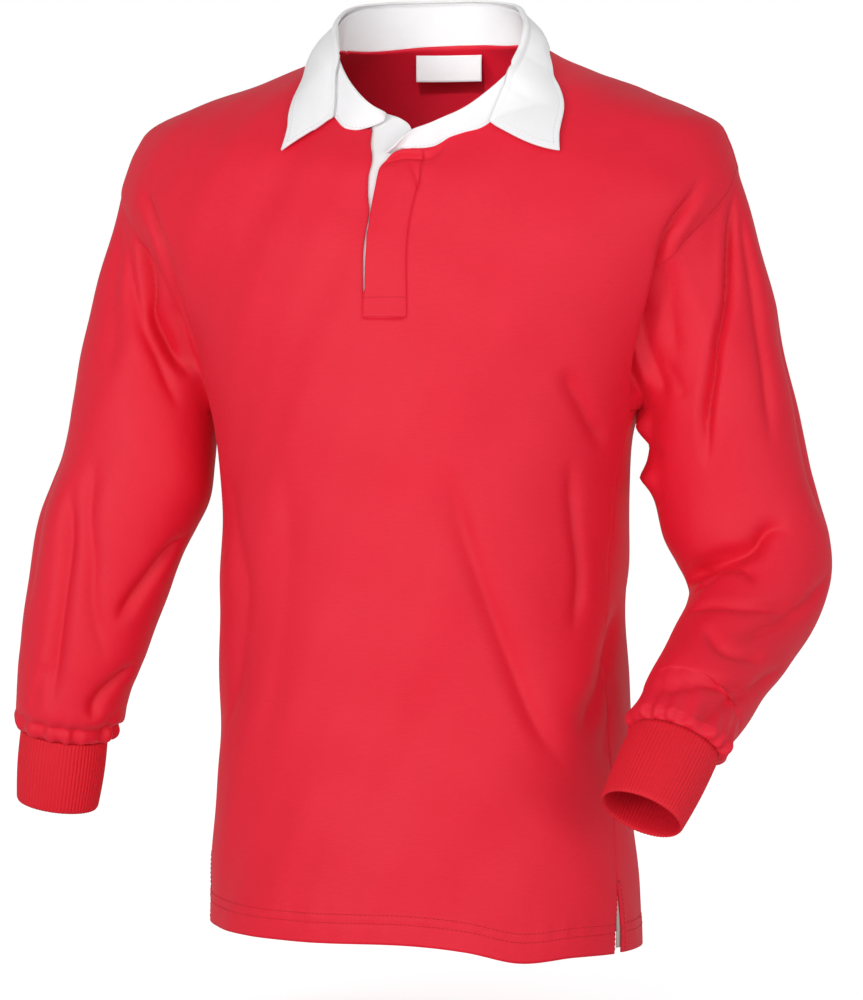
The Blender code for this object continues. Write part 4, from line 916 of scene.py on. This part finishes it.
def seam_dips(rows, columns, seam):
    """How far a panel dips at its outer columns and at its shoulder seams' columns."""
    dip = np.zeros((rows, columns))
    for edge, step in ((0, 1), (columns - 1, -1)):
        dip[:, edge] = SEAM_DIP
        dip[:, edge + step] = SEAM_DIP * BESIDE_SEAM
    for shoulder in (slice(0, seam), slice(columns - seam, columns)):
        dip[-1, shoulder] = SEAM_DIP
        dip[-2, shoulder] = SEAM_DIP * BESIDE_SEAM
    return dip


def hem_relief(points):
    """The turned-up hem: a step up at its stitching, and grooves in the two lines."""
    up = cloth_places(points)[..., 1]
    turned = points[..., 0] * 90 + points[..., 1] * 60
    pucker = np.sin(turned * 3.1) * 0.5 + np.sin(turned * 7.7 + 1.0) * 0.3
    raised = HEM_STEP * (1 - ease((up - 0.0215) / 0.0045))
    grooves = sum(HEM_GROOVE * np.exp(-((up - line) / 0.0016) ** 2) for line in HEM_LINES)
    return (raised - grooves
            + pucker * HEM_PUCKER * np.exp(-((up - 0.022) / 0.010) ** 2))


def lay_panel(name, node, turns, heights, seam, holes=None):
    """A panel with its folds, hem and seams, from the turns and heights of its grid."""
    points, normals = body_point(turns, heights), body_normal(turns, heights)
    offsets = fold_offsets(points, normals, BODY_FOLDS, body_point) + swell(points)
    offsets += hem_relief(points)
    offsets -= seam_dips(*turns.shape, seam)
    points = points + normals * offsets[..., None]
    made = lay_cloth(name, points, JERSEY, RED_JERSEY, holes=holes)
    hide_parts(node)
    return made, points


def make_front():
    """The front panel, with its placket notch left open."""
    half_turns, half_heights = top_edge(FRONT_NECK_TURNS, -1)
    middle = refine(np.linspace(PLACKET_RIGHT, PLACKET_LEFT, 3), ACROSS)
    first_gap = refine([PLACKET_LEFT, FRONT_NECK_TURNS[0]], ACROSS)[1:-1]
    last_gap = refine([-FRONT_NECK_TURNS[0], PLACKET_RIGHT], ACROSS)[1:-1]
    top_turns = np.concatenate([-half_turns[::-1], last_gap, middle, first_gap, half_turns])
    top_heights = np.concatenate([neck_height(-half_turns[::-1]), neck_height(last_gap),
                                  neck_height(middle), neck_height(first_gap), half_heights])
    seam = len(half_turns) - len(FRONT_NECK_TURNS) * ACROSS
    top_heights[:seam] = half_heights[::-1][:seam]
    coarse = len(FRONT_NECK_TURNS) + 6
    side = refine([*np.linspace(9.0, SIDE_SEAM_TURN - 3.0, coarse),
                   SIDE_SEAM_TURN - VENT_SPREAD], ACROSS)
    bottom_turns = np.concatenate([
        -side[::-1], refine([-side[0], PLACKET_RIGHT], ACROSS)[1:-1], middle,
        refine([PLACKET_LEFT, side[0]], ACROSS)[1:-1], side])
    levels = fine_levels()
    right = side_edge(-1, levels, ARMHOLE_FRONT, -1)
    left = side_edge(1, levels, ARMHOLE_FRONT, -1)
    turns, heights = panel(body_point(bottom_turns, hem_height(bottom_turns)),
                           body_point(top_turns, top_heights), levels, right, left)
    first = len(half_turns) + ACROSS - 1
    last = first + len(middle) - 1
    foot = int(np.argmin(np.abs(heights[:, first] - PLACKET_FOOT)))
    near = np.exp(-((np.arange(len(top_turns)) - (first + last) / 2) / (3.5 * ACROSS)) ** 2)
    shift = (PLACKET_FOOT - heights[foot]) * near
    for row in range(foot - FOOT_ROWS + 1, foot + FOOT_ROWS):
        heights[row] += shift * (1 - abs(row - foot) / FOOT_ROWS)
    heights[foot, first:last + 1] = PLACKET_FOOT
    across = np.linspace(0, 1, len(middle))
    columns = np.arange(turns.shape[1])
    fade = (ease(1 - (first - columns[:first]) / NOTCH_COLUMNS),
            ease(1 - (columns[last + 1:] - last) / NOTCH_COLUMNS))
    for row in range(foot - NOTCH_ROWS, len(levels)):
        weight = float(ease((row - foot + NOTCH_ROWS) / NOTCH_ROWS))
        edge = blend_rows(NOTCH_EDGE, heights[row, first:last + 1])[:, 0]
        seam_turn = blend_rows(PLACKET_SEAM, heights[row, first:last + 1])[:, 0]
        goal = edge * (1 - across) + seam_turn * across
        shift = (goal - turns[row, first:last + 1]) * weight
        turns[row, :first] += shift[0] * fade[0]
        turns[row, first:last + 1] += shift
        turns[row, last + 1:] += shift[-1] * fade[1]
    settled = np.where(np.abs(turns[-1]) < NECK_TURN, neck_height(turns[-1]) - heights[-1], 0.0)
    for row in range(NECK_ROWS):
        heights[-1 - row] += settled * ease(1 - row / NECK_ROWS)
    holes = np.zeros((len(levels) - 1, len(top_turns) - 1), bool)
    holes[foot:, first:last] = True
    return lay_panel("front_cloth", "front", turns, heights, seam, holes)


def make_back():
    """The back panel."""
    seam_heights = refine(SHOULDER_SEAM, ACROSS)
    seam_turns = 90.0 + seam_inset(90.0, seam_heights)
    neck_turns = refine([seam_turns[0], *BACK_NECK_TURNS, 180.0], ACROSS)[1:]
    half = np.concatenate([seam_turns[::-1], neck_turns])
    half_high = np.concatenate([seam_heights[::-1], neck_height(neck_turns)])
    top_turns = np.concatenate([half, 360.0 - half[::-1][1:]])
    top_heights = np.concatenate([half_high, half_high[::-1][1:]])
    seam = len(seam_turns)
    near_seam = SIDE_SEAM_TURN + VENT_SPREAD + 4.0
    far_seam = SIDE_SEAM_TURN + VENT_SPREAD
    coarse = (len(top_turns) - 1) // ACROSS + 1
    bottom_turns = refine([far_seam, *np.linspace(near_seam, 360.0 - near_seam, coarse - 2),
                           360.0 - far_seam], ACROSS)
    levels = fine_levels()
    left = side_edge(1, levels, ARMHOLE_BACK, 1)
    right = side_edge(-1, levels, ARMHOLE_BACK, 1)
    turns, heights = panel(body_point(bottom_turns, hem_height(bottom_turns)),
                           body_point(top_turns, top_heights), levels, left, right)
    return lay_panel("back_cloth", "back", turns, heights, seam)


# ---------------------------------------------------------------- sleeves and cuffs
SLEEVE_COLUMNS = 160
SLEEVE_ROWS_EACH = 10      # rows for each of the solid's


def loop_levels(row_count):
    """Levels of the solid's points up one half of an armhole, from the underarm."""
    levels = np.concatenate([np.linspace(UNDERARM_LEVEL, 0.955, row_count), [0.985, 1.0]])
    loop = []
    for index, level in enumerate(levels):
        loop.append(level)
        if index < len(levels) - 3:
            loop.append((level + levels[index + 1]) / 2)
    return np.array(loop)


def armhole_loop(sign, angles):
    """Points of the armhole at angles round the sleeve, with the ways out and away."""
    turns, heights = np.zeros(len(angles)), np.zeros(len(angles))
    for rows, table, start in ((9, ARMHOLE_FRONT, 0.0), (8, ARMHOLE_BACK, 180.0)):
        levels = loop_levels(rows)
        if start == 0.0:
            levels = levels[::-1]
        half = (angles >= start) & (angles < start + 180.0)
        level = np.interp(angles[half] - start, np.linspace(0.0, 180.0, len(levels)), levels)
        turns[half], heights[half] = armhole(level, table)
    plain = body_point(turns * sign, heights)
    out = body_normal(turns * sign, heights)
    points = body_surface(turns * sign, heights, -SEAM_DIP)
    tangents = unit(np.roll(points, -1, axis=0) - np.roll(points, 1, axis=0))
    away = unit(np.cross(out, tangents))
    outward = np.array([sign, 0.0, 0.0])
    away *= np.sign((away @ outward) + 0.3 * ((plain.mean(axis=0) - plain) @ outward))[:, None]
    for _ in range(SLEEVE_COLUMNS // 6):
        away = unit(np.roll(away, -1, axis=0) + 2 * away + np.roll(away, 1, axis=0))
    return points, out, away


def ring_frames(rings):
    """Middles, sizes and two axes (outward, front) at the rings of a tube."""
    rings = np.array(rings, float)
    middles = rings[:, :3]
    steps = unit(np.gradient(middles, axis=0))
    outward = np.zeros_like(steps)
    outward[:, 0] = np.sign(middles[0, 0])
    outward = unit(outward - np.einsum("ij,ij->i", outward, steps)[:, None] * steps)
    front = np.cross(steps, outward)
    front *= -np.sign(front[:, 1:2])
    return middles, rings[:, 3:], outward, front


def sleeve_point(rings, around, share):
    """The plain sleeve at an angle round it and a share of its length from underarm."""
    middles, sizes, outward, front = ring_frames(rings)
    reach = np.linspace(0, 1, len(rings))
    table = np.column_stack([reach, middles, sizes, outward, front])
    row = blend_rows(table, share)
    angle = np.radians(around)[..., None]
    return (row[..., 0:3] + unit(row[..., 5:8]) * row[..., 3:4] * np.cos(angle)
            + unit(row[..., 8:11]) * row[..., 4:5] * np.sin(angle))


def sleeve_rows(sign, rings, cuff_ends, around):
    """The solid's rows of a sleeve, from the armhole to the cuff's seam."""
    hole, normals, away = armhole_loop(sign, around)
    count = len(around)
    first, second = (sleeve_point(rings, around, np.full(count, share))
                     for share in (0.0, 0.04))
    down = unit(second - first)
    span = np.linalg.norm(first - hole, axis=1)[:, None]
    start = unit(away + 1.2 * ease(span / 0.12) * unit(first - hole))
    rows = []
    for part in (0.0, 0.04, *np.linspace(0, 1, 6)[1:-1]):
        rows.append(hole * (1 + 2 * part) * (1 - part) ** 2
                    + first * part ** 2 * (3 - 2 * part)
                    + start * span * 0.9 * part * (1 - part) ** 2
                    - down * span * 0.9 * part ** 2 * (1 - part))
    rows[0] = hole + away * SEAM_GAP
    for share in np.linspace(0, 1, 12):
        rows.append(sleeve_point(rings, around, np.full(count, share)))
    cuff = sleeve_point(cuff_ends, around, np.zeros(count))
    middle = np.array(cuff_ends[0][:3])
    axis = unit(np.array(cuff_ends[1][:3]) - middle)
    out = unit(cuff - middle)
    wave = np.cos(np.radians(around) * GATHERS)[:, None] * GATHER_DEPTH
    for rise, proud, share in CUFF_ROLL:
        rows.append(cuff - axis * rise + out * (proud + wave * share))
    rows.append(cuff - axis * SEAM_GAP)
    return np.array(rows), normals


def make_sleeve(name, node, sign, rings, cuff_ends, folds):
    """One long sleeve, with its creases and its gathers."""
    around = np.arange(SLEEVE_COLUMNS) * 360.0 / SLEEVE_COLUMNS
    coarse, seam_normals = sleeve_rows(sign, rings, cuff_ends, around)
    last = len(coarse) - 1
    places = np.concatenate([[0.0, 0.25, 0.6, 1.0],
                             np.linspace(1, 17, 16 * SLEEVE_ROWS_EACH + 1)[1:],
                             np.linspace(17, last, 29)[1:]])
    points = smooth_rows(coarse, places)

    def place(angle, row):
        column = angle % 360 / 360 * SLEEVE_COLUMNS
        low = int(column) % SLEEVE_COLUMNS
        line = (coarse[:, low] * (1 - column % 1)
                + coarse[:, (low + 1) % SLEEVE_COLUMNS] * (column % 1))
        return smooth_rows(line[:, None], np.array([float(row)]))[0, 0]

    if sign < 0:
        points, around, seam_normals = points[:, ::-1], around[::-1], seam_normals[::-1]
    normals = grid_normals(points, True)
    settle = ease((places - 0.1) / 1.2) * ease((last - places) / 1.5)
    offsets = fold_offsets(points, normals, folds, place)
    turn = np.radians(around)[None, :]
    uneven = (np.cos(turn * 17 + 1.2 * np.sin(turn * 3))
              * (0.6 + 0.4 * np.sin(turn * 4 + 1.0)))
    near_cuff = ease((places - 16.2) / 2.6) * ease((last - places) / 0.6)
    offsets = (offsets + swell(points) * 0.8) * settle[:, None]
    offsets += uneven * PLEAT_DEPTH * near_cuff[:, None]
    points = points + normals * offsets[..., None]
    normals = grid_normals(points, True)
    normals[0] = seam_normals
    made = lay_cloth(name, points, JERSEY, RED_JERSEY, closed=True, normals=normals)
    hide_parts(node)
    return made


def make_cuff(name, node, sign, ends):
    """A ribbed cuff, folded double at its open end."""
    count = RIB_COUNT * POINTS_A_RIB
    around = np.arange(count) * 360.0 / count
    rib = (np.abs(np.cos(np.radians(around) * RIB_COUNT / 2)) ** 0.8 * RIB_DEPTH)[:, None]
    start, end = np.array(ends[0][:3]), np.array(ends[1][:3])
    axis = unit(end - start)
    loops = []
    profile = [(share, 0.0, 0.0) for share in np.linspace(0.0, 0.97, 22)]
    profile += [(0.985, 0.25, 0.0004), (0.995, 0.5, 0.0008), (0.985, 0.75, 0.0004)]
    profile += [(share, 1.0, 0.0) for share in np.linspace(0.97, 0.0, 16)]
    for share, inward, beyond in profile:
        ring = sleeve_point(ends, around, np.full(count, share))
        middle = start + (end - start) * share
        out = unit(ring - middle)
        swell_out = CUFF_SWELL * math.sin(math.pi * share)
        loops.append(ring + out * (rib + swell_out - CUFF_WALL * inward) + axis * beyond)
    points = np.array(loops)
    if sign < 0:
        points = points[:, ::-1]
    rows = len(points)
    places = cloth_places(points).reshape(-1, 3)
    faces = []
    for row in range(rows):
        below = (row + 1) % rows
        for column in range(count):
            beside = (column + 1) % count
            faces.append([row * count + column, row * count + beside,
                          below * count + beside, below * count + column])
    made = add_mesh(name, points.reshape(-1, 3), faces, places, RED_RIB)
    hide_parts(node)
    return made


# ---------------------------------------------------------------- collar, placket, label
def stand_lines(positions):
    """Foot and top of the stand at places given as row numbers of its table."""
    numbers = np.arange(len(STAND_STATIONS), dtype=float)
    table = [(number, row[0], *row[2:]) for number, row in zip(numbers, STAND_STATIONS)]
    turns, *top = np.moveaxis(blend_rows(table, positions), -1, 0)
    wrapped = (turns + 180) % 360 - 180
    foot = body_surface(wrapped, neck_height(wrapped) - 0.0015, 0.0008)
    for number, row in zip(numbers, STAND_STATIONS):
        if row[1] is not None:
            turn = (row[0] + 180) % 360 - 180
            own = body_surface(np.array([turn]), np.array([row[1]]), 0.0012)[0]
            weight = ease(1 - np.abs(positions - number) / 0.8)[..., None]
            foot = foot * (1 - weight) + own * weight
    top = np.stack(top, axis=-1)
    return foot, top


def make_stand():
    """The neck band, from the neck seam to the edge that the leaf rolls over."""
    positions = np.linspace(0, len(STAND_STATIONS) - 1, 361)
    foot, top = stand_lines(positions)
    points = np.array([foot * (1 - share) + top * share for share in np.linspace(0, 1, 15)])
    points = points[:, ::-1]
    made = lay_cloth("collar_stand_twill", points, TWILL, WHITE_TWILL)
    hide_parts("collar_stand")
    return made, points


def roll_over(foot, top, out, rise, drop, step):
    """Points a step past the start of the roll, at a share of the way down the stand."""
    outward = -0.0009 + (LEAF_CLEAR + 0.0009) * np.maximum(ease(step / 0.005),
                                                           ease(drop / 0.06))
    upward = LEAF_CLEAR * 1.2 * (1 - ease((drop - 0.05) / 0.2)) - max(step - 0.003, 0.0)
    return (top + (foot - top) * drop[:, None] + out * outward[:, None]
            + rise * upward[:, None])


def make_leaf():
    """The fall of the collar, rolled over the stand and down onto the shoulders."""
    numbers = np.arange(len(LEAF_STATIONS), dtype=float)
    table = [(number, *row) for number, row in zip(numbers, LEAF_STATIONS)]
    walk = blend_rows(table, np.linspace(0, numbers[-1], 337))
    position, drop, turns, heights, lift = np.moveaxis(walk, -1, 0)
    foot, top = stand_lines(position)
    out = unit(np.cross(top - foot, np.gradient((foot + top) / 2, axis=0)))
    rise = unit(np.cross(np.gradient(top, axis=0), out))
    rise *= np.sign(np.einsum("ij,ij->i", rise, top - foot))[:, None]
    wrapped = (turns + 180) % 360 - 180
    edge = body_point(wrapped, heights) + body_normal(wrapped, heights) * lift[:, None]
    rows = [roll_over(foot, top, out, rise, drop, step)
            for step in np.linspace(0, 0.009, 10)]
    start = rows.pop()
    fall = np.linspace(0, 1, 34)
    shares = np.concatenate([np.zeros(len(rows)), fall])
    fullness = LEAF_BULGE - BULGE_LOST * ease((position - BULGE_END) / 1.5)
    for share in fall:
        bulge = 4 * share * (1 - share)
        rows.append(start + (edge - start) * share + out * (fullness * bulge)[:, None])
    points = np.array(rows)
    bowed = 44
    for first, step, bow in ((0, 1, 0.0022), (-1, -1, 0.0042)):
        way = unit(points[:, first] - points[:, first + 12 * step])
        for count in range(bowed):
            size = bow * 4 * shares * (1 - shares) * ease(1 - count / bowed)
            points[:, first + count * step] += way * size[:, None]
    turns, heights = onto_body(points)
    normals = body_normal(turns, heights)
    gap = np.einsum("...k,...k", points - body_surface(turns, heights), normals)
    short = np.where(points[..., 2] < BODY_RINGS[-1][0], LEAF_CLEAR + 0.0006 - gap, 0.0)
    points = points + normals * np.maximum(short, 0.0)[..., None]
    made = lay_cloth("collar_leaf_twill", points, TWILL, WHITE_TWILL)
    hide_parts("collar_leaf")
    return made, points


def strip(right_turns, left_turns, heights, columns, lift):
    """Points of a strip on the body between two edges, moved out by lift."""
    share = np.linspace(0, 1, columns)[None, :]
    turns = np.array(right_turns)[:, None] * (1 - share) + np.array(left_turns)[:, None] * share
    if np.ndim(heights) == 1:
        heights = np.repeat(np.array(heights)[:, None], columns, axis=1)
    return body_surface(turns, heights, lift)


def make_placket():
    """The red overlap, sewn in at the wearer's left and its foot, and the white underlap."""
    rows, columns = 110, 37
    up = np.linspace(0, 1, rows)[:, None]
    heights = OVERLAP_FOOT + up * (OVERLAP_TOP - OVERLAP_FOOT)
    free = blend_rows(OVERLAP_EDGE, heights[:, 0])[:, 0]
    seam = blend_rows(PLACKET_SEAM, heights[:, 0])[:, 0] + 0.6
    share = np.linspace(0, 1, columns)[None, :]
    turns = free[:, None] * (1 - share) + seam[:, None] * share
    notch = blend_rows(NOTCH_EDGE, heights[:, 0])[:, 0][:, None]
    tucked = np.maximum(ease(1 - (seam[:, None] - turns) / 1.1),
                        ease((notch - turns) / 0.6 + 0.4))
    tucked = np.maximum(tucked, ease(1 - (heights - OVERLAP_FOOT) / 0.0035))
    crown = OVERLAP_CROWN * np.sin(math.pi * np.clip(share * 1.08, 0, 1))
    points = body_surface(turns, np.repeat(heights, columns, axis=1),
                          OVERLAP_LIFT + crown - OVERLAP_TUCK * tucked)
    overlap = lay_cloth("placket_overlap_cloth", points, JERSEY, RED_JERSEY)
    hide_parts("placket_overlap")
    columns = 17
    right = np.full(rows, PLACKET_RIGHT - 1.6)
    left = np.full(rows, PLACKET_LEFT - 0.9)
    top = blend_rows(UNDERLAP_TOP, np.linspace(right[0], left[0], columns))[:, 0][None, :]
    heights = PLACKET_BOX + up * (top - PLACKET_BOX)
    under = strip(right, left, heights, columns, -JERSEY - UNDERLAP_CLEAR)
    underlap = lay_cloth("placket_underlap_twill", under, TWILL, WHITE_TWILL)
    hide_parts("placket_underlap")
    return overlap, points, underlap


def make_label():
    """The bare woven label, hanging inside the back from the neck seam."""
    width, drop = LABEL_SIZE
    columns, rows = 27, 13
    half_turn = math.degrees(width / 2 / 0.070)
    turns = np.linspace(LABEL_TURN - half_turn, LABEL_TURN + half_turn, columns)
    seam = body_point(turns, np.full(columns, -0.0025))
    seam = seam - unit(seam * np.array([1.0, 1.0, 0.0])) * (JERSEY + 0.0026)
    hang = np.linspace(drop, 0, rows)[:, None, None] * np.array([0.0, 0.0, 1.0])
    made = lay_cloth("neck_label", seam[None] - hang, LABEL_WALL, WHITE_SATIN)
    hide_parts("label")
    return made


def make_vent_tape(name, node, sign):
    """The tape that backs a side vent's rear edge."""
    rows = 24
    foot = float(blend_rows(HEM, sign * SIDE_SEAM_TURN)[0]) + 0.004
    heights = np.linspace(foot, VENT_TOP + 0.010, rows)
    share = ease((VENT_TOP - heights) / (VENT_TOP - foot))
    front = SIDE_SEAM_TURN + share * (VENT_SPREAD - 1.6) - 0.6 * (1 - share)
    back = front + 4.2
    edges = (front, back) if sign > 0 else (-back, -front)
    made = lay_cloth(name, strip(*edges, heights, 7, -JERSEY - 0.0006), TAPE, STONE_TAPE)
    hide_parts(node)
    return made


# ---------------------------------------------------------------- stitching
def hem_stitches(grid):
    """The two rows of stitching along a panel's hem."""
    columns = np.linspace(2, grid.shape[1] - 3, 220)
    normals = grid_normals(grid)
    lines = []
    for distance in HEM_LINES:
        rows = rows_above(grid, distance, columns)
        lines.append((on_grid(grid, rows, columns), on_grid(normals, rows, columns)))
    return lines


def line_on(grid, rows, columns):
    """A path on a grid of cloth, and its normals, for a row of stitches."""
    rows, columns = np.broadcast_arrays(np.asarray(rows, float), np.asarray(columns, float))
    return on_grid(grid, rows, columns), on_grid(grid_normals(grid), rows, columns)


def leaf_stitches(grid):
    """Topstitching along the free edge and the two front edges of the leaf."""
    last_row, last_column = grid.shape[0] - 1, grid.shape[1] - 1
    columns = np.linspace(4, last_column - 4, 200)
    lines = [line_on(grid, rows_above(grid, 0.0050, columns, from_end=True), columns)]
    rows = np.linspace(12, last_row - 5, 40)
    for columns in (np.linspace(5, 5, 40), np.linspace(last_column - 5, last_column - 5, 40)):
        lines.append(line_on(grid, rows, columns))
    return lines


def vent_stitches(grid, edge, way):
    """The line of stitches beside a side vent, and the bar that closes its top."""
    rows = np.linspace(0.6, 17.0, 40)
    columns = np.full(40, edge + way * 2.6)
    bar = np.linspace(edge + way * 0.5, edge + way * 2.6, 12)
    return [line_on(grid, rows, columns)], [line_on(grid, np.full(12, 17.0 + step), bar)
                                            for step in (0.0, 0.22, 0.44)]


def panel_stitches(side, grid):
    """The thread of a panel: its hem and vents, then the bars above its vents."""
    lines, bars = hem_stitches(grid), []
    for edge, way in ((0, 1), (grid.shape[1] - 1, -1)):
        line, bar = vent_stitches(grid, edge, way)
        lines += line
        bars += bar
    return [add_stitches("hem_stitches_" + side, lines, RED_THREAD, radius=0.00040),
            add_stitches("vent_bars_" + side, bars, RED_THREAD, length=0.0011,
                         gap=0.0001)]


def box_stitches(grid):
    """The two rows across the overlap's foot."""
    columns = np.linspace(2.0, 34.0, 40)
    tall = OVERLAP_TOP - OVERLAP_FOOT
    rows = [(height - OVERLAP_FOOT) / tall * (len(grid) - 1) for height in BOX_STITCH_HEIGHTS]
    return [line_on(grid, np.full(40, row), columns) for row in rows]


# ---------------------------------------------------------------- the whole shirt
front, front_grid = make_front()
back, back_grid = make_back()
left_sleeve = make_sleeve("left_sleeve_cloth", "sleeve_left", 1, LEFT_SLEEVE_RINGS,
                          LEFT_CUFF_ENDS, LEFT_SLEEVE_FOLDS)
right_sleeve = make_sleeve("right_sleeve_cloth", "sleeve_right", -1, RIGHT_SLEEVE_RINGS,
                           RIGHT_CUFF_ENDS, RIGHT_SLEEVE_FOLDS)
left_cuff = make_cuff("left_cuff_rib", "cuff_left", 1, LEFT_CUFF_ENDS)
right_cuff = make_cuff("right_cuff_rib", "cuff_right", -1, RIGHT_CUFF_ENDS)
stand, stand_grid = make_stand()
leaf, leaf_grid = make_leaf()
overlap, overlap_grid, underlap = make_placket()
label = make_label()
left_tape = make_vent_tape("left_vent_tape", "vent_tape_left", 1)
right_tape = make_vent_tape("right_vent_tape", "vent_tape_right", -1)


front_thread = panel_stitches("front", front_grid)
back_thread = panel_stitches("back", back_grid)
box_thread = add_stitches("placket_stitches", box_stitches(overlap_grid), RED_THREAD,
                          length=0.0022)
leaf_thread = add_stitches("leaf_stitches", leaf_stitches(leaf_grid), WHITE_THREAD,
                           length=0.0026, radius=0.00026)
stand_columns = np.linspace(5, stand_grid.shape[1] - 6, 240)
stand_thread = add_stitches(
    "stand_stitches", [line_on(stand_grid, np.full(240, 1.2), stand_columns)], WHITE_THREAD,
    length=0.0026, radius=0.00026)

# How each cut piece lies flat: width and length, how it is held, its own area. The loop below only
# walks through this table; nothing in it uses the sizes or the areas.
for piece, flat, area, thread in (
        (front, (0.520, 0.740), 0.330, front_thread),
        (back, (0.560, 0.760), 0.395, back_thread),
        (left_sleeve, (0.420, 0.620), 0.165, ()),
        (right_sleeve, (0.420, 0.620), 0.150, ()),
        (left_cuff, (0.225, 0.066), None, ()), (right_cuff, (0.225, 0.066), None, ()),
        (stand, (0.460, 0.036), None, (stand_thread,)),
        (leaf, (0.480, 0.075), 0.0245, (leaf_thread,)),
        (overlap, (0.036, 0.135), None, (box_thread,)), (underlap, (0.036, 0.145), None, ()),
        (label, LABEL_SIZE, None, ()), (left_tape, (0.010, 0.070), None, ()),
        (right_tape, (0.010, 0.060), None, ())):
    tuple(thread)


# ---------------------------------------------------------------- stage, light, camera
FLOOR = -0.800
LIGHT_AIM = (0, 0, -0.35)
# Soft lights: name, place, size, power
SOFT_LIGHTS = (("front_softbox", (-0.2, -3.6, -0.05), 2.6, 37),
               ("key", (-1.4, -3.1, -0.05), 0.8, 20), ("fill", (2.4, -2.6, -0.40), 1.6, 30))
COLLAR_LIGHT = (0.25, -1.6, 0.55)
COLLAR_AIM = (0.02, 0.06, -0.02)
COLLAR_POWER = 80
COLLAR_CONE = 5.5          # degrees
CAMERA = (0.9317, -3.4773, -0.28)
CAMERA_AIM = (0.0, 0.0, -0.371)
LENS = 158.04              # millimetres, on a sensor 36 mm wide


def make_stage():
    """A pale floor below the shirt and white all round."""
    half = 8.0
    mesh = bpy.data.meshes.new("floor")
    mesh.from_pydata([(-half, -half, FLOOR), (half, -half, FLOOR), (half, half, FLOOR),
                      (-half, half, FLOOR)], [], [(0, 1, 2, 3)])
    mesh.materials.append(pale_floor())
    made = bpy.data.objects.new("floor", mesh)
    bpy.context.scene.collection.objects.link(made)
    world = bpy.data.worlds.new("studio")
    bpy.context.scene.world = world
    world.use_nodes = True
    nodes = Nodes(world.node_tree)
    lit = world.node_tree.nodes["Background"]
    lit.inputs["Color"].default_value = (1.0, 1.0, 1.0, 1.0)
    lit.inputs["Strength"].default_value = 0.50
    seen = nodes.add("ShaderNodeBackground")
    seen.inputs["Color"].default_value = (1.0, 1.0, 1.0, 1.0)
    seen.inputs["Strength"].default_value = 1.0
    mix = nodes.add("ShaderNodeMixShader")
    nodes.join(nodes.add("ShaderNodeLightPath").outputs["Is Camera Ray"], mix.inputs[0])
    nodes.join(lit.outputs[0], mix.inputs[1])
    nodes.join(seen.outputs[0], mix.inputs[2])
    nodes.join(mix.outputs[0], world.node_tree.nodes["World Output"].inputs["Surface"])


def point_at(made, place, aim):
    """Put a lamp or a camera at a place, turned towards its aim."""
    made.location = place
    made.rotation_euler = (Vector(aim) - Vector(place)).to_track_quat("-Z", "Y").to_euler()
    bpy.context.scene.collection.objects.link(made)


def add_lamp(name, kind, place, aim, power):
    """A lamp of one kind, pointed at its aim."""
    lamp = bpy.data.lights.new(name, kind)
    lamp.energy = power
    point_at(bpy.data.objects.new(name, lamp), place, aim)
    return lamp


make_stage()
for name, place, size, power in SOFT_LIGHTS:
    add_lamp(name, "AREA", place, LIGHT_AIM, power).size = size
collar_lamp = add_lamp("collar_light", "SPOT", COLLAR_LIGHT, COLLAR_AIM, COLLAR_POWER)
collar_lamp.spot_size = math.radians(COLLAR_CONE)
collar_lamp.spot_blend = 0.7
collar_lamp.shadow_soft_size = 0.08

lens = bpy.data.cameras.new("camera")
lens.sensor_width = 36.0
lens.lens = LENS
lens.clip_end = 60.0
camera = bpy.data.objects.new("camera", lens)
point_at(camera, CAMERA, CAMERA_AIM)
bpy.context.scene.camera = camera
bpy.context.scene.view_settings.view_transform = "Standard"
